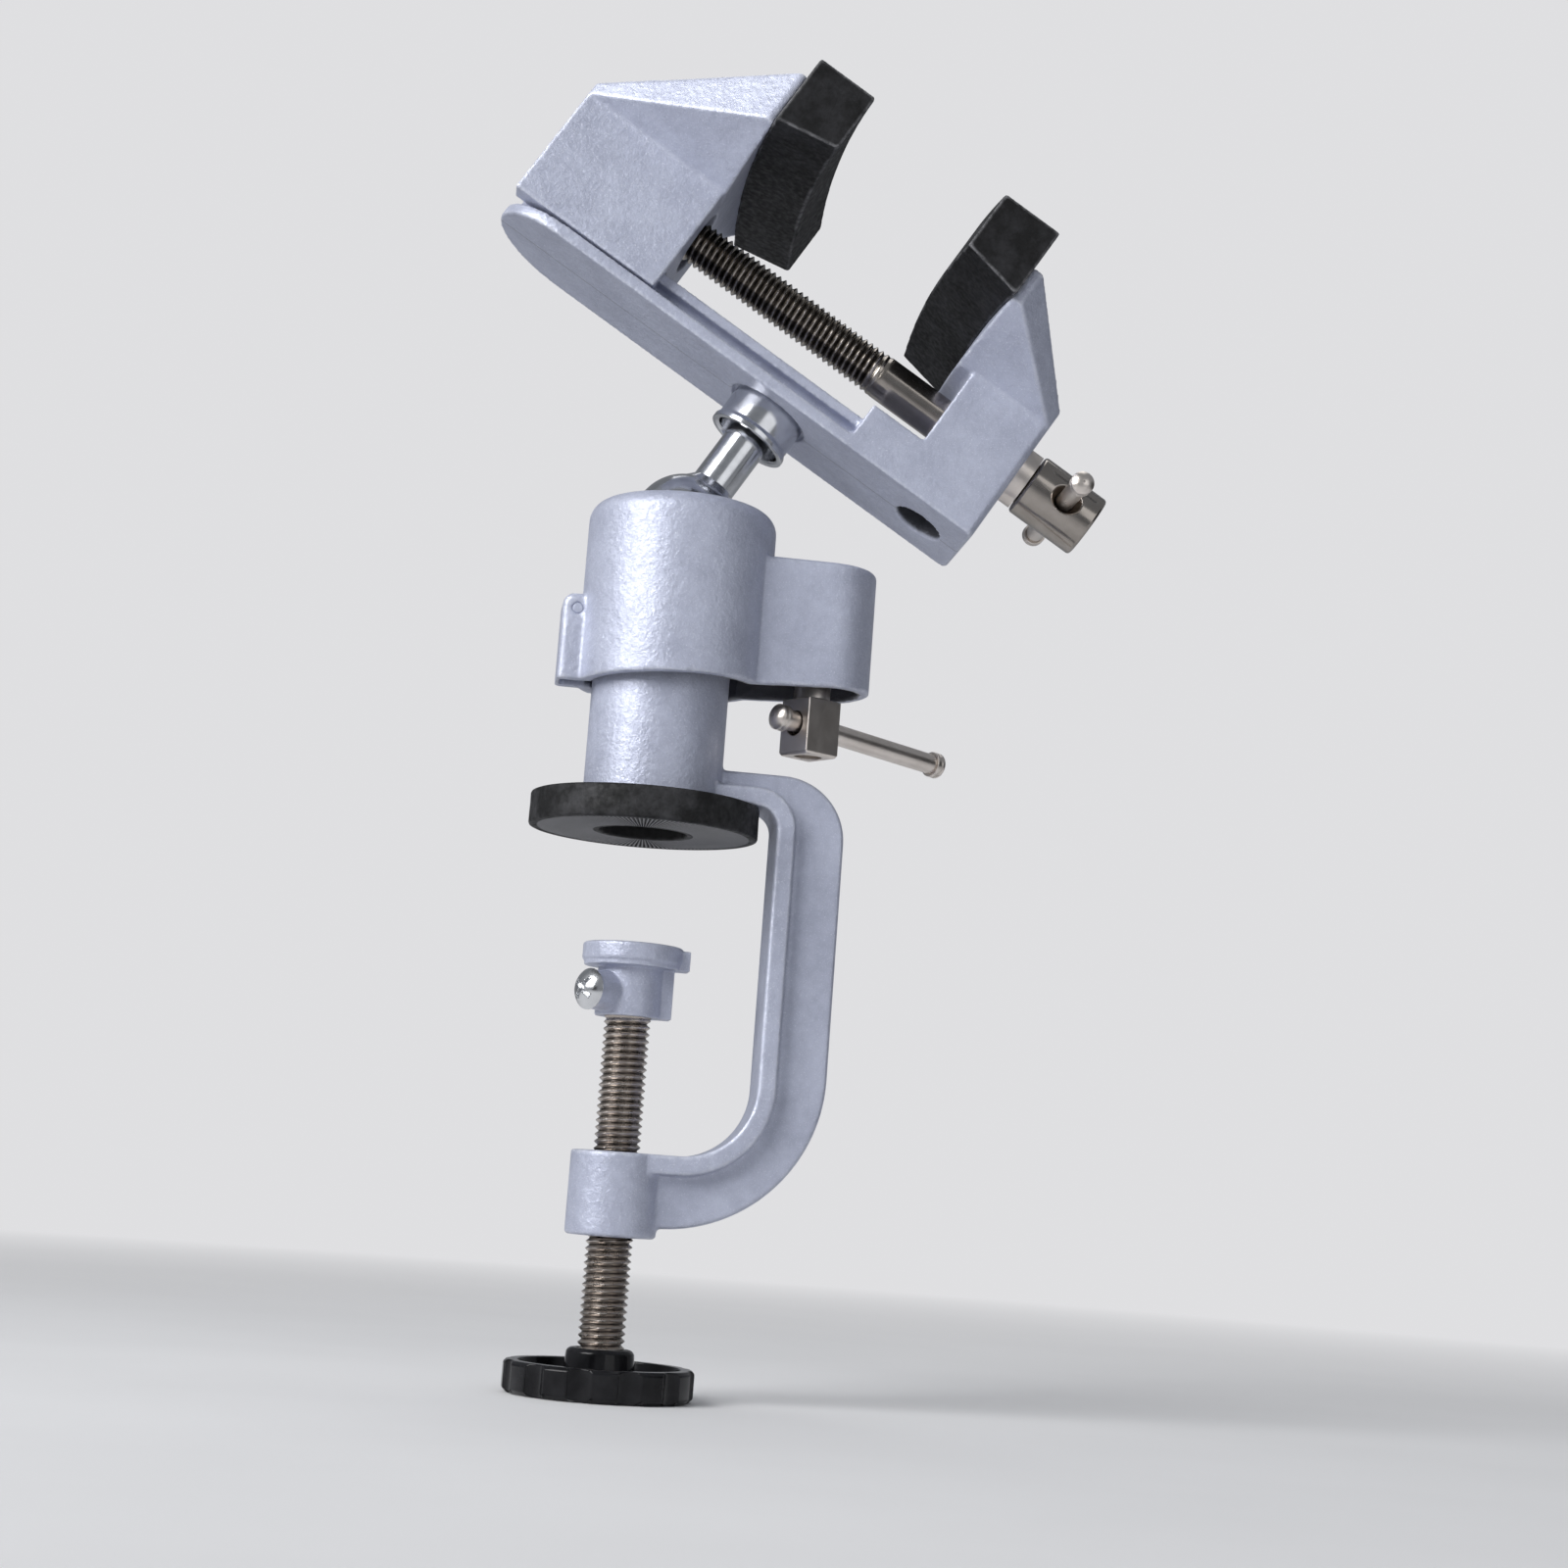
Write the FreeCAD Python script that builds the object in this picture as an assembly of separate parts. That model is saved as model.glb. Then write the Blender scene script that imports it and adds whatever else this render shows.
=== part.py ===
import FreeCAD, Part
import math
import os

from FreeCAD import Vector

# Ball vise: a small jaw vise on a lockable ball, carried by a C-clamp for a bench edge.
# Millimetres. +Z is up along the clamp screw, +X points to the clamp's arm, +Y to the back.
# The origin is the centre of the bench pad's underside, which is the plane of the bench top.
# The vise head is drawn upright in its own frame (u along the lead screw, v = Y, w up from
# the underside of its base, zero on the stem's axis) and is then leaned over about the ball.

# ---------------------------------------------------------------- clearances
RUNNING = 0.06           # radial play of a shaft in its bore
SEATED = 0.03            # play between two pieces that only touch
LOOSE = 0.3              # open play between pieces that pass each other
ROOMY = 0.9              # wide play round pieces that swing or tilt
PAST = 1.0               # how far a cutting body runs past the face it cuts

# ---------------------------------------------------------------- bench pad
PAD_RADIUS = 24.9
PAD_THICKNESS = 7.0
PAD_HOLE_RADIUS = 9.5
SPIGOT_DEPTH = 3.5       # how far the column's spigot reaches into the pad
RIB_COUNT = 60           # moulded ribs round the pad's underside
RIB_DEPTH = 0.4
RIB_WIDTH = 0.6

# ---------------------------------------------------------------- clamp frame
COLUMN_X = 1.2
COLUMN_RADIUS = 15.0
COLUMN_TOP = 38.0
NECK_RADIUS = 12.5
ARM_INNER_X = 28.3
ARM_FLANGE_THICKNESS = 4.1
ARM_OUTER_X = 43.6
ARM_UNDERSIDE_Z = PAD_THICKNESS + LOOSE
ARM_TOP_Z = 15.0
ARM_SHELF_Z = -68.7      # top of the lower limb and of the screw boss
ARM_BOTTOM_Z = -84.2
ARM_FLANGE_HALF_WIDTH = 7.5
ARM_WEB_HALF_WIDTH = 4.0
ARM_UPPER_RADIUS = 4.5   # inner corner under the column
ARM_LOWER_RADIUS = 15.5  # inner corner above the lower limb
ARM_OUTER_UPPER_RADIUS = 14.0
ARM_OUTER_LOWER_RADIUS = 34.0
ARM_WEB_ROUND = 1.0
ARM_FLANGE_ROUND = 0.6
BOSS_RADIUS = 9.7
BOSS_HEIGHT = 17.8
BOSS_EDGE_ROUND = 0.8

# ---------------------------------------------------------------- clamp screw, pressure pad
CLAMP_SCREW_RADIUS = 5.0
CLAMP_PITCH = 1.5
THREAD_DEPTH = 0.75
PRESS_TOP_Z = -24.5
PRESS_FLANGE_RADIUS = 10.8
PRESS_FLANGE_HEIGHT = 3.9
PRESS_STEP_RADIUS = 10.3 # thin ring under the flange
PRESS_STEP_HEIGHT = 1.0
PRESS_NECK_RADIUS = 7.2
PRESS_RIB_HALF_WIDTH = 3.0
PRESS_RIB_REACH = 12.3   # rib beside the flange, from the clamp axis
PRESS_RIB_NECK_REACH = 9.1
PRESS_HEIGHT = 15.5
PRESS_FLOOR = 2.6        # metal above the screw's tip
PRESS_EDGE_ROUND = 0.6
PRESS_SCREW_DROP = 10.6  # cross screw's axis below the pad's top
PRESS_SCREW_AZIMUTH = 218.0
PRESS_SCREW_HEAD_RADIUS = 4.5
PRESS_SCREW_HEAD_HEIGHT = 2.4
PRESS_SCREW_SHANK_RADIUS = 2.0
PRESS_BOSS_RADIUS = 4.2
PRESS_BOSS_REACH = 11.6  # flat of the cross screw's boss, from the clamp axis
SCREW_GROOVE_DEPTH = 1.1
SCREW_GROOVE_WIDTH = 4.4
RECESS_ARM = 2.6         # half length of a cross recess
RECESS_WIDTH = 0.9
RECESS_DEPTH = 1.2

# ---------------------------------------------------------------- hand knob
KNOB_RADIUS = 20.2
KNOB_RIM_TOP = -113.0
KNOB_RIM_HEIGHT = 6.8
KNOB_HUB_RADIUS = 7.2
KNOB_HUB_RISE = 3.2      # hub's top above the rim
KNOB_RIM_WALL = 3.0
KNOB_DISH_DEPTH = 3.4
KNOB_FLUTES = 12
KNOB_FLUTE_RADIUS = 4.0
KNOB_FLUTE_DEPTH = 1.1
KNOB_EDGE_ROUND = 1.0
KNOB_LIP_ROUND = 0.7
KNOB_WALL_DRAFT = 0.6
KNOB_FLOOR = 1.5         # plastic under the metal insert
INSERT_RADIUS = 5.9      # metal insert moulded in the knob's hub
INSERT_FLANGE_RADIUS = 6.6
INSERT_FLANGE_HEIGHT = 1.2

# ---------------------------------------------------------------- ball and stem
SOCKET_X = 3.3
BALL_Z = 69.2
BALL_RADIUS = 11.5
STEM_RADIUS = 5.0
STEM_LENGTH = 32.3       # from the ball's centre to the underside of the vise base
STEM_SKIRT = 1.6         # flared root where the stem leaves the ball
STEM_SKIRT_HEIGHT = 1.9
STUD_RADIUS = 4.0        # threaded end inside the base
STUD_DEPTH = 6.6
HEAD_TILT = 31.0         # lean of the stem from the vertical, about +Y
COLLAR_RADIUS = 9.3
COLLAR_HEIGHT = 8.0
COLLAR_SEAT_DEPTH = 1.5   # how far the collar sits up in the base's pocket
COLLAR_POCKET_PLAY = 1.0
COLLAR_CUP_RADIUS = 7.7
COLLAR_CUP_DEPTH = 4.2
COLLAR_LIP = 0.5
COLLAR_BAND = 1.2        # wider band at the collar's rim
COLLAR_BAND_TAPER = 0.8

# ---------------------------------------------------------------- ball seat on the column
SEAT_FLANGE_RADIUS = 16.5
SEAT_FLANGE_HEIGHT = 3.2
SEAT_BOTTOM_Z = 46.0
SEAT_RADIUS = 13.5
SEAT_TOP_Z = 63.5
SEAT_SCREW_RADIUS = 2.5
SEAT_SCREW_HEAD_RADIUS = 4.6
SEAT_SCREW_HEAD_HEIGHT = 2.8
SEAT_SCREW_LENGTH = 22.0
SEAT_SCREW_SINK = 0.8    # head below the bottom of the ball's cup

# ---------------------------------------------------------------- socket casing
CASING_RADIUS = 20.7
CASING_BOTTOM_Z = 31.5
CASING_TOP_Z = 72.6
CASING_TOP_ROUND = 4.4
CASING_BORE_RADIUS = 17.7
CASING_BORE_TOP_Z = 60.0
CASING_THROAT_TOP_Z = 66.0
LOBE_X = 36.2
LOBE_RADIUS = 11.0
LOBE_TOP_Z = 62.0
LOBE_BOTTOM_Z = 34.7     # the underside rises from the ear to the lobe
LOBE_WALL = 2.5
LOBE_ROUND = 1.2
EAR_END_X = -21.8
EAR_HALF_WIDTH = 5.6
EAR_TOP_Z = 50.6
EAR_ROUND = 1.4
EAR_TOP_ROUND = 2.6
EAR_SLOT_HALF_WIDTH = 3.2

# ---------------------------------------------------------------- rocker, pin, lock screw
PIN_X = -18.5
PIN_Z = 47.2
PIN_RADIUS = 1.25
PIN_CHAMFER = 0.3
PIN_SET_IN = 0.2         # pin's ends below the ear's sides
ROCKER_THICKNESS = 4.0
ROCKER_EYE_RADIUS = 2.1
ROCKER_RING_RADIUS = 16.8
ROCKER_ARM_HALF_WIDTH = 6.0
LOCK_X = 34.8
LOCK_SHANK_RADIUS = 4.0
LOCK_BLOCK_SIDE = 9.2
LOCK_BLOCK_BOTTOM_Z = 20.0
LOCK_BLOCK_TOP_Z = 32.6
LOCK_HOLE_RADIUS = 3.0   # blind hole in the block's end
LOCK_HOLE_DEPTH = 2.2
LOCK_BLOCK_CHAMFER = 0.5
NUT_PLATE_BOTTOM_Z = 37.5
NUT_PLATE_THICKNESS = 3.8
NUT_PLATE_START_X = 23.5
BUTTON_RADIUS = 3.4
BUTTON_STEM_RADIUS = 1.8
BUTTON_STEM_LENGTH = 2.6
BUTTON_HEIGHT = 1.2
BUTTON_ROUND = 0.5

# ---------------------------------------------------------------- sliding bars
LOCK_BAR_Z = 27.0
LOCK_BAR_AZIMUTH = 33.0
LOCK_BAR_DROOP = 3.6     # the loose bar hangs down at its long end
LOCK_BAR_PLAY = 0.4      # radial play in the block's cross hole, which allows the droop
LOCK_BAR_RADIUS = 2.3
LOCK_BAR_REACH = 40.4    # long end, from the lock screw's axis
LOCK_BAR_STUB = 10.8     # short end
LOCK_CAP_RADIUS = 2.9
LEAD_BAR_RADIUS = 2.1
LEAD_BAR_REACH = 27.8
LEAD_BAR_STUB = 22.8
LEAD_CAP_RADIUS = 2.6
CAP_LENGTH = 3.4
CAP_BARREL = 2.1         # straight part behind the round nose
CAP_NOSE_FACTOR = 1.35   # nose sphere to cap radius
CAP_SOCKET_DEPTH = 1.4
CAP_GROOVE = 0.5
CAP_GROOVE_AT = 0.95

# ---------------------------------------------------------------- vise base (head frame)
BASE_RIGHT_U = 52.9
BASE_LEFT_U = -73.6
BASE_HALF_WIDTH = 15.7
BASE_PLATE = 2.8
RAIL_NECK_HALF_WIDTH = 8.8
RAIL_UNDERSIDE_W = 6.0
RAIL_TOP_W = 8.4
RAIL_HALF_WIDTH = 12.0
RAIL_LEFT_U = -70.7
STEP_U = 18.6
STEP_TOP_W = 11.3
SPINE_CHANNEL_HALF_WIDTH = 3.4
SPINE_CHANNEL_DEPTH = 1.4
ACCESS_HOLE_U = 41.7
ACCESS_HOLE_RADIUS = 5.75
ACCESS_HOLE_DEPTH = 11.0
RETAINER_RADIUS = 3.0
RETAINER_TIP_RADIUS = 1.8
RETAINER_LENGTH = 5.6
RETAINER_SLOT_WIDTH = 0.8
RETAINER_SLOT_DEPTH = 1.0
RETAINER_GAP = 0.4       # body of the retainer below the lead screw
RAIL_END_INSET = 1.5     # rail's round end inside the sole's
JAW_CORNER_ROUND = 1.8

# ---------------------------------------------------------------- jaws (head frame)
FIXED_FRONT_U = 32.0
MOVING_FRONT_U = -35.4
MOVING_BACK_U = -72.4
JAW_HALF_WIDTH = 15.2
JAW_UNDERSIDE_W = 3.5
SHOULDER_W = 30.4
FIXED_BROW_RISE = 4.9    # top edge of the jaw's end face over the shoulder
MOVING_BROW_RISE = 3.1
WING_HALF_SPAN = 34.7
WING_LOW_W = 42.3
FIXED_TOP_W = 50.9
MOVING_TOP_W = 55.4
WING_PROUD = 2.1         # wing plate in front of the jaw block, at its ends
JAW_BOW = 2.0            # plan bow of plates and pads
SLOT_PLAY = 0.35
TONGUE_W = 47.0
TONGUE_HALF_HEIGHT = 1.5
TONGUE_DEPTH = 5.0
TONGUE_HALF_SPAN = 31.0
GRIP_THICKNESS = 14.4
GRIP_HALF_SPAN = 39.0
GRIP_TOP_W = 58.8
GRIP_BACK_LOW_W = 41.6
GRIP_FRONT_LOW_W = 44.4
GRIP_ROUND = 0.5

# ---------------------------------------------------------------- lead screw (head frame)
LEAD_W = 22.8
LEAD_RADIUS = 5.0
LEAD_PITCH = 1.5
LEAD_LEFT_U = -68.7
LEAD_THREAD_END_U = 15.9
LEAD_HEAD_RADIUS = 7.4
LEAD_HEAD_START_U = 56.5
LEAD_HEAD_LENGTH = 17.0
LEAD_BAR_U = 65.6
LEAD_HEAD_ROUND = 0.8
LEAD_HOLE_MOUTH = 3.6    # wide mouth of the bar's cross hole
LEAD_HOLE_MOUTH_DEPTH = 2.4
WASHER_RADIUS = 6.8
WASHER_LENGTH = 3.3
NUT_RADIUS = 7.6
NUT_LENGTH = 12.0
NUT_SET_BACK = 2.0

# ---------------------------------------------------------------- derived values
SEAT_CUP_RADIUS = BALL_RADIUS + RUNNING
ROCKER_TOP_Z = SEAT_BOTTOM_Z - SEATED
NECK_TOP_Z = SEAT_BOTTOM_Z
ARM_FLANGE_OUTER_X = ARM_INNER_X + ARM_FLANGE_THICKNESS
ROCKER_HALF_EYE = EAR_SLOT_HALF_WIDTH - LOOSE
BOSS_BOTTOM_Z = ARM_SHELF_Z - BOSS_HEIGHT
PRESS_SCREW_Z = PRESS_TOP_Z - PRESS_SCREW_DROP
CLAMP_TIP_Z = PRESS_TOP_Z - PRESS_FLOOR
KNOB_BOTTOM_Z = KNOB_RIM_TOP - KNOB_RIM_HEIGHT
KNOB_HUB_TOP = KNOB_RIM_TOP + KNOB_HUB_RISE
LEAD_HEAD_END_U = LEAD_HEAD_START_U + LEAD_HEAD_LENGTH
SAME = 0.001             # lengths closer than this count as equal
X_AXIS = Vector(1, 0, 0)
Y_AXIS = Vector(0, 1, 0)
Z_AXIS = Vector(0, 0, 1)


# ================================================================ small helpers
def cylinder(radius, start, end, axis=Z_AXIS):
    """Round bar from a start point, along an axis, as long as the end value says."""
    return Part.makeCylinder(radius, end, start, axis)


def upright(radius, low, high, x=0.0, y=0.0):
    """Round bar along Z between two heights."""
    return Part.makeCylinder(radius, high - low, Vector(x, y, low), Z_AXIS)


def block(x_range, y_range, z_range):
    """Box between pairs of limits."""
    size = [high - low for low, high in (x_range, y_range, z_range)]
    corner = Vector(x_range[0], y_range[0], z_range[0])
    return Part.makeBox(size[0], size[1], size[2], corner)


def turned(profile, at=Vector(0, 0, 0)):
    """Solid of revolution about Z of closed (radius, height) points, moved to a place."""
    points = [Vector(radius, 0, height) for radius, height in profile]
    face = Part.Face(Part.makePolygon(points + points[:1]))
    solid = face.revolve(Vector(0, 0, 0), Z_AXIS, 360)
    solid.translate(at)
    return solid


def prism(points, direction):
    """Prism over a flat closed outline of points."""
    face = Part.Face(Part.makePolygon(points + points[:1]))
    return face.extrude(direction)


def obround(x_centre, radius, x_start, low, high):
    """Block with one half-round end, between two heights, centred on y = 0."""
    body = block((x_start, x_centre), (-radius, radius), (low, high))
    return body.fuse(upright(radius, low, high, x_centre)).removeSplitter()


def ray(azimuth):
    """Level unit direction at an angle in degrees from +X."""
    angle = math.radians(azimuth)
    return Vector(math.cos(angle), math.sin(angle), 0)


def drooping_ray():
    """Unit direction of the lock bar towards its long end."""
    droop = math.radians(LOCK_BAR_DROOP)
    return ray(LOCK_BAR_AZIMUTH) * math.cos(droop) - Z_AXIS * math.sin(droop)


def edges_where(shape, test):
    """Edges of a shape that pass a test."""
    return [edge for edge in shape.Edges if test(edge)]


def at_height(edge, z):
    """True for an edge that lies in the level plane z."""
    box = edge.BoundBox
    return abs(box.ZMin - z) < SAME and abs(box.ZMax - z) < SAME


def lean(shape):
    """Head frame to part frame: turn about +Y by the tilt, then carry to the stem's end."""
    moved = shape.copy()
    moved.translate(Vector(0, 0, STEM_LENGTH))
    moved.rotate(Vector(0, 0, 0), Y_AXIS, HEAD_TILT)
    moved.translate(Vector(SOCKET_X, 0, BALL_Z))
    return moved


def threaded_rod(radius, pitch, length):
    """Rod along +Z from the origin whose thread is a row of V grooves, one per turn."""
    turns = int(length // pitch)
    crest = pitch * 0.125
    points = [Vector(0, 0, 0), Vector(radius - THREAD_DEPTH, 0, 0)]
    for turn in range(turns):
        base = turn * pitch
        points.append(Vector(radius - THREAD_DEPTH, 0, base + crest))
        points.append(Vector(radius, 0, base + pitch / 2 - crest / 2))
        points.append(Vector(radius, 0, base + pitch / 2 + crest / 2))
        points.append(Vector(radius - THREAD_DEPTH, 0, base + pitch - crest))
    points.append(Vector(radius - THREAD_DEPTH, 0, length))
    points.append(Vector(0, 0, length))
    face = Part.Face(Part.makePolygon(points + points[:1]))
    return face.revolve(Vector(0, 0, 0), Z_AXIS, 360)


def cross_recess(depth):
    """Cutter for a cross recess, standing on the origin and reaching down."""
    span = (-RECESS_ARM, RECESS_ARM)
    width = (-RECESS_WIDTH / 2, RECESS_WIDTH / 2)
    first = block(span, width, (-depth, depth))
    second = block(width, span, (-depth, depth))
    return first.fuse(second)


def pan_head(radius, height):
    """Domed screw head with a cross recess, its seat on the origin, facing +Z."""
    sphere_radius = (radius * radius + height * height) / (2 * height)
    dome = Part.makeSphere(sphere_radius, Vector(0, 0, height - sphere_radius))
    head = dome.common(upright(radius, 0, height))
    recess = cross_recess(RECESS_DEPTH)
    recess.translate(Vector(0, 0, height))
    return head.cut(recess)


def end_cap(radius, bar_radius):
    """Grooved cap with a round nose, its open face on the origin, pointing to +Z."""
    body = upright(radius, 0, CAP_BARREL)
    sphere_radius = radius * CAP_NOSE_FACTOR
    nose_centre = CAP_LENGTH - sphere_radius
    nose = Part.makeSphere(sphere_radius, Vector(0, 0, nose_centre))
    whole = upright(radius, 0, CAP_LENGTH).common(nose.fuse(body))
    groove_high = CAP_GROOVE_AT + CAP_GROOVE
    ring = upright(radius + PAST, CAP_GROOVE_AT, groove_high)
    ring = ring.cut(upright(radius - CAP_GROOVE / 2, CAP_GROOVE_AT, groove_high))
    socket = upright(bar_radius, 0, CAP_SOCKET_DEPTH)
    return whole.cut(ring).cut(socket)


def point_along(shape, origin, direction):
    """Carry a shape drawn along +Z so that it starts at origin and points at direction."""
    moved = shape.copy()
    turn = FreeCAD.Rotation(Z_AXIS, direction)
    moved.Placement = FreeCAD.Placement(origin, turn).multiply(moved.Placement)
    return moved


def sliding_bar(centre, direction, reach, stub, radius, cap_radius):
    """Bar through a point and its two end caps, as (bar, caps)."""
    inner = CAP_LENGTH - CAP_SOCKET_DEPTH
    start = centre - direction * (stub - inner)
    bar = cylinder(radius, start, reach + stub - 2 * inner, direction)
    cap = end_cap(cap_radius, radius)
    long_cap = point_along(cap, centre + direction * (reach - CAP_LENGTH), direction)
    short_cap = point_along(cap, centre - direction * (stub - CAP_LENGTH), direction * -1)
    return bar, Part.makeCompound([long_cap, short_cap])


# ================================================================ clamp frame
def c_path(x_side, z_top, z_bottom, r_top, r_bottom, x_start_top, x_start_bottom):
    """Edges of a C: out along the top, down the side and back along the bottom."""
    def point(x, z):
        return Vector(x, 0, z)

    def corner(radius, z, sign):
        centre = point(x_side - radius, z - sign * radius)
        half = radius * math.sqrt(0.5)
        start = point(x_side - radius, z)
        middle = centre + Vector(half, 0, sign * half)
        end = point(x_side, z - sign * radius)
        return start, middle, end

    top = corner(r_top, z_top, 1)
    bottom = corner(r_bottom, z_bottom, -1)
    return [
        Part.LineSegment(point(x_start_top, z_top), top[0]).toShape(),
        Part.Arc(top[0], top[1], top[2]).toShape(),
        Part.LineSegment(top[2], bottom[2]).toShape(),
        Part.Arc(bottom[2], bottom[1], bottom[0]).toShape(),
        Part.LineSegment(bottom[0], point(x_start_bottom, z_bottom)).toShape(),
    ]


def c_band(inner, outer, half_width):
    """Solid between two C paths that start and end at the same x, centred on y = 0."""
    first = outer[0].Vertexes[0].Point
    last = outer[-1].Vertexes[-1].Point
    inner_first = inner[0].Vertexes[0].Point
    inner_last = inner[-1].Vertexes[-1].Point
    ends = [
        Part.LineSegment(first, inner_first).toShape(),
        Part.LineSegment(last, inner_last).toShape(),
    ]
    wire = Part.Wire(Part.__sortEdges__(inner + outer + ends))
    face = Part.Face(wire)
    face.translate(Vector(0, -half_width, 0))
    return face.extrude(Vector(0, 2 * half_width, 0))


def make_arm():
    """T-section C arm: a wide flange on the inside and a narrower web outside it."""
    starts = (COLUMN_X + COLUMN_RADIUS / 2, BOSS_RADIUS / 2)
    thickness = ARM_FLANGE_THICKNESS
    inner = c_path(ARM_INNER_X, ARM_UNDERSIDE_Z, ARM_SHELF_Z,
                   ARM_UPPER_RADIUS, ARM_LOWER_RADIUS, *starts)
    middle = c_path(ARM_FLANGE_OUTER_X, ARM_UNDERSIDE_Z + thickness, ARM_SHELF_Z - thickness,
                    ARM_UPPER_RADIUS + thickness, ARM_LOWER_RADIUS + thickness, *starts)
    outer = c_path(ARM_OUTER_X, ARM_TOP_Z, ARM_BOTTOM_Z,
                   ARM_OUTER_UPPER_RADIUS, ARM_OUTER_LOWER_RADIUS, *starts)
    flange = c_band(inner, middle, ARM_FLANGE_HALF_WIDTH)
    web = c_band(middle, outer, ARM_WEB_HALF_WIDTH)
    arm = flange.fuse(web).removeSplitter()

    def on_side(edge, half_width):
        box = edge.BoundBox
        flat = box.YLength < SAME and abs(abs(box.YMin) - half_width) < SAME
        return flat and edge.CenterOfMass.x > 0

    web_sides = edges_where(arm, lambda edge: on_side(edge, ARM_WEB_HALF_WIDTH))
    on_outline = [edge for edge in web_sides if lies_on(edge, outer)]
    arm = arm.makeFillet(ARM_WEB_ROUND, on_outline)
    flange_sides = edges_where(arm, lambda edge: on_side(edge, ARM_FLANGE_HALF_WIDTH))
    return arm.makeFillet(ARM_FLANGE_ROUND, flange_sides)


def lies_on(edge, path):
    """True where the middle of an edge is on a path drawn in the plane y = 0."""
    middle = edge.valueAt((edge.FirstParameter + edge.LastParameter) / 2)
    flat = Part.Vertex(Vector(middle.x, 0, middle.z))
    return min(flat.distToShape(piece)[0] for piece in path) < SAME


def make_clamp_frame():
    """Casting: column with its neck, pad spigot, C arm and the threaded screw boss."""
    column = upright(COLUMN_RADIUS, PAD_THICKNESS, COLUMN_TOP, COLUMN_X)
    neck = upright(NECK_RADIUS, COLUMN_TOP, NECK_TOP_Z, SOCKET_X)
    spigot = upright(PAD_HOLE_RADIUS - RUNNING, PAD_THICKNESS - SPIGOT_DEPTH, PAD_THICKNESS)
    boss = upright(BOSS_RADIUS, BOSS_BOTTOM_Z, ARM_SHELF_Z)
    rims = edges_where(boss, lambda edge: at_height(edge, BOSS_BOTTOM_Z))
    boss = boss.makeFillet(BOSS_EDGE_ROUND, rims)
    frame = column.fuse([neck, spigot, boss, make_arm()]).removeSplitter()
    screw_bore = upright(CLAMP_SCREW_RADIUS + RUNNING, BOSS_BOTTOM_Z - PAST, ARM_SHELF_Z + PAST)
    seat_bore = upright(SEAT_SCREW_RADIUS + SEATED, seat_screw_head_z() - SEAT_SCREW_LENGTH - PAST,
                        NECK_TOP_Z + PAST, SOCKET_X)
    return frame.cut(screw_bore).cut(seat_bore)


def make_bench_pad():
    """Rubber ring with fine radial ribs moulded on its underside."""
    ring = upright(PAD_RADIUS, 0, PAD_THICKNESS).cut(
        upright(PAD_HOLE_RADIUS, -PAST, PAD_THICKNESS + PAST))
    groove = block((PAD_HOLE_RADIUS - PAST, PAD_RADIUS + PAST), (-RIB_WIDTH / 2, RIB_WIDTH / 2),
                   (-PAST, RIB_DEPTH))
    grooves = []
    for index in range(RIB_COUNT):
        cutter = groove.copy()
        cutter.rotate(Vector(0, 0, 0), Z_AXIS, 360.0 * index / RIB_COUNT)
        grooves.append(cutter)
    return ring.cut(grooves)


# ================================================================ clamp screw group
def make_clamp_screw():
    """Threaded rod with a grooved tip inside the pressure pad and a plain tail in the knob."""
    thread_low = KNOB_HUB_TOP - CLAMP_PITCH
    thread_high = PRESS_TOP_Z - PRESS_HEIGHT
    rod = threaded_rod(CLAMP_SCREW_RADIUS, CLAMP_PITCH, thread_high - thread_low)
    rod.translate(Vector(0, 0, thread_low))
    tip = upright(CLAMP_SCREW_RADIUS - SEATED, thread_high, CLAMP_TIP_Z)
    tail = upright(CLAMP_SCREW_RADIUS - THREAD_DEPTH, KNOB_BOTTOM_Z + KNOB_FLOOR, thread_low)
    groove_low = PRESS_SCREW_Z - SCREW_GROOVE_WIDTH / 2
    groove_high = groove_low + SCREW_GROOVE_WIDTH
    groove = upright(CLAMP_SCREW_RADIUS + PAST, groove_low, groove_high).cut(
        upright(CLAMP_SCREW_RADIUS - SCREW_GROOVE_DEPTH, groove_low, groove_high))
    return rod.fuse([tip, tail]).cut(groove).removeSplitter()


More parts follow.
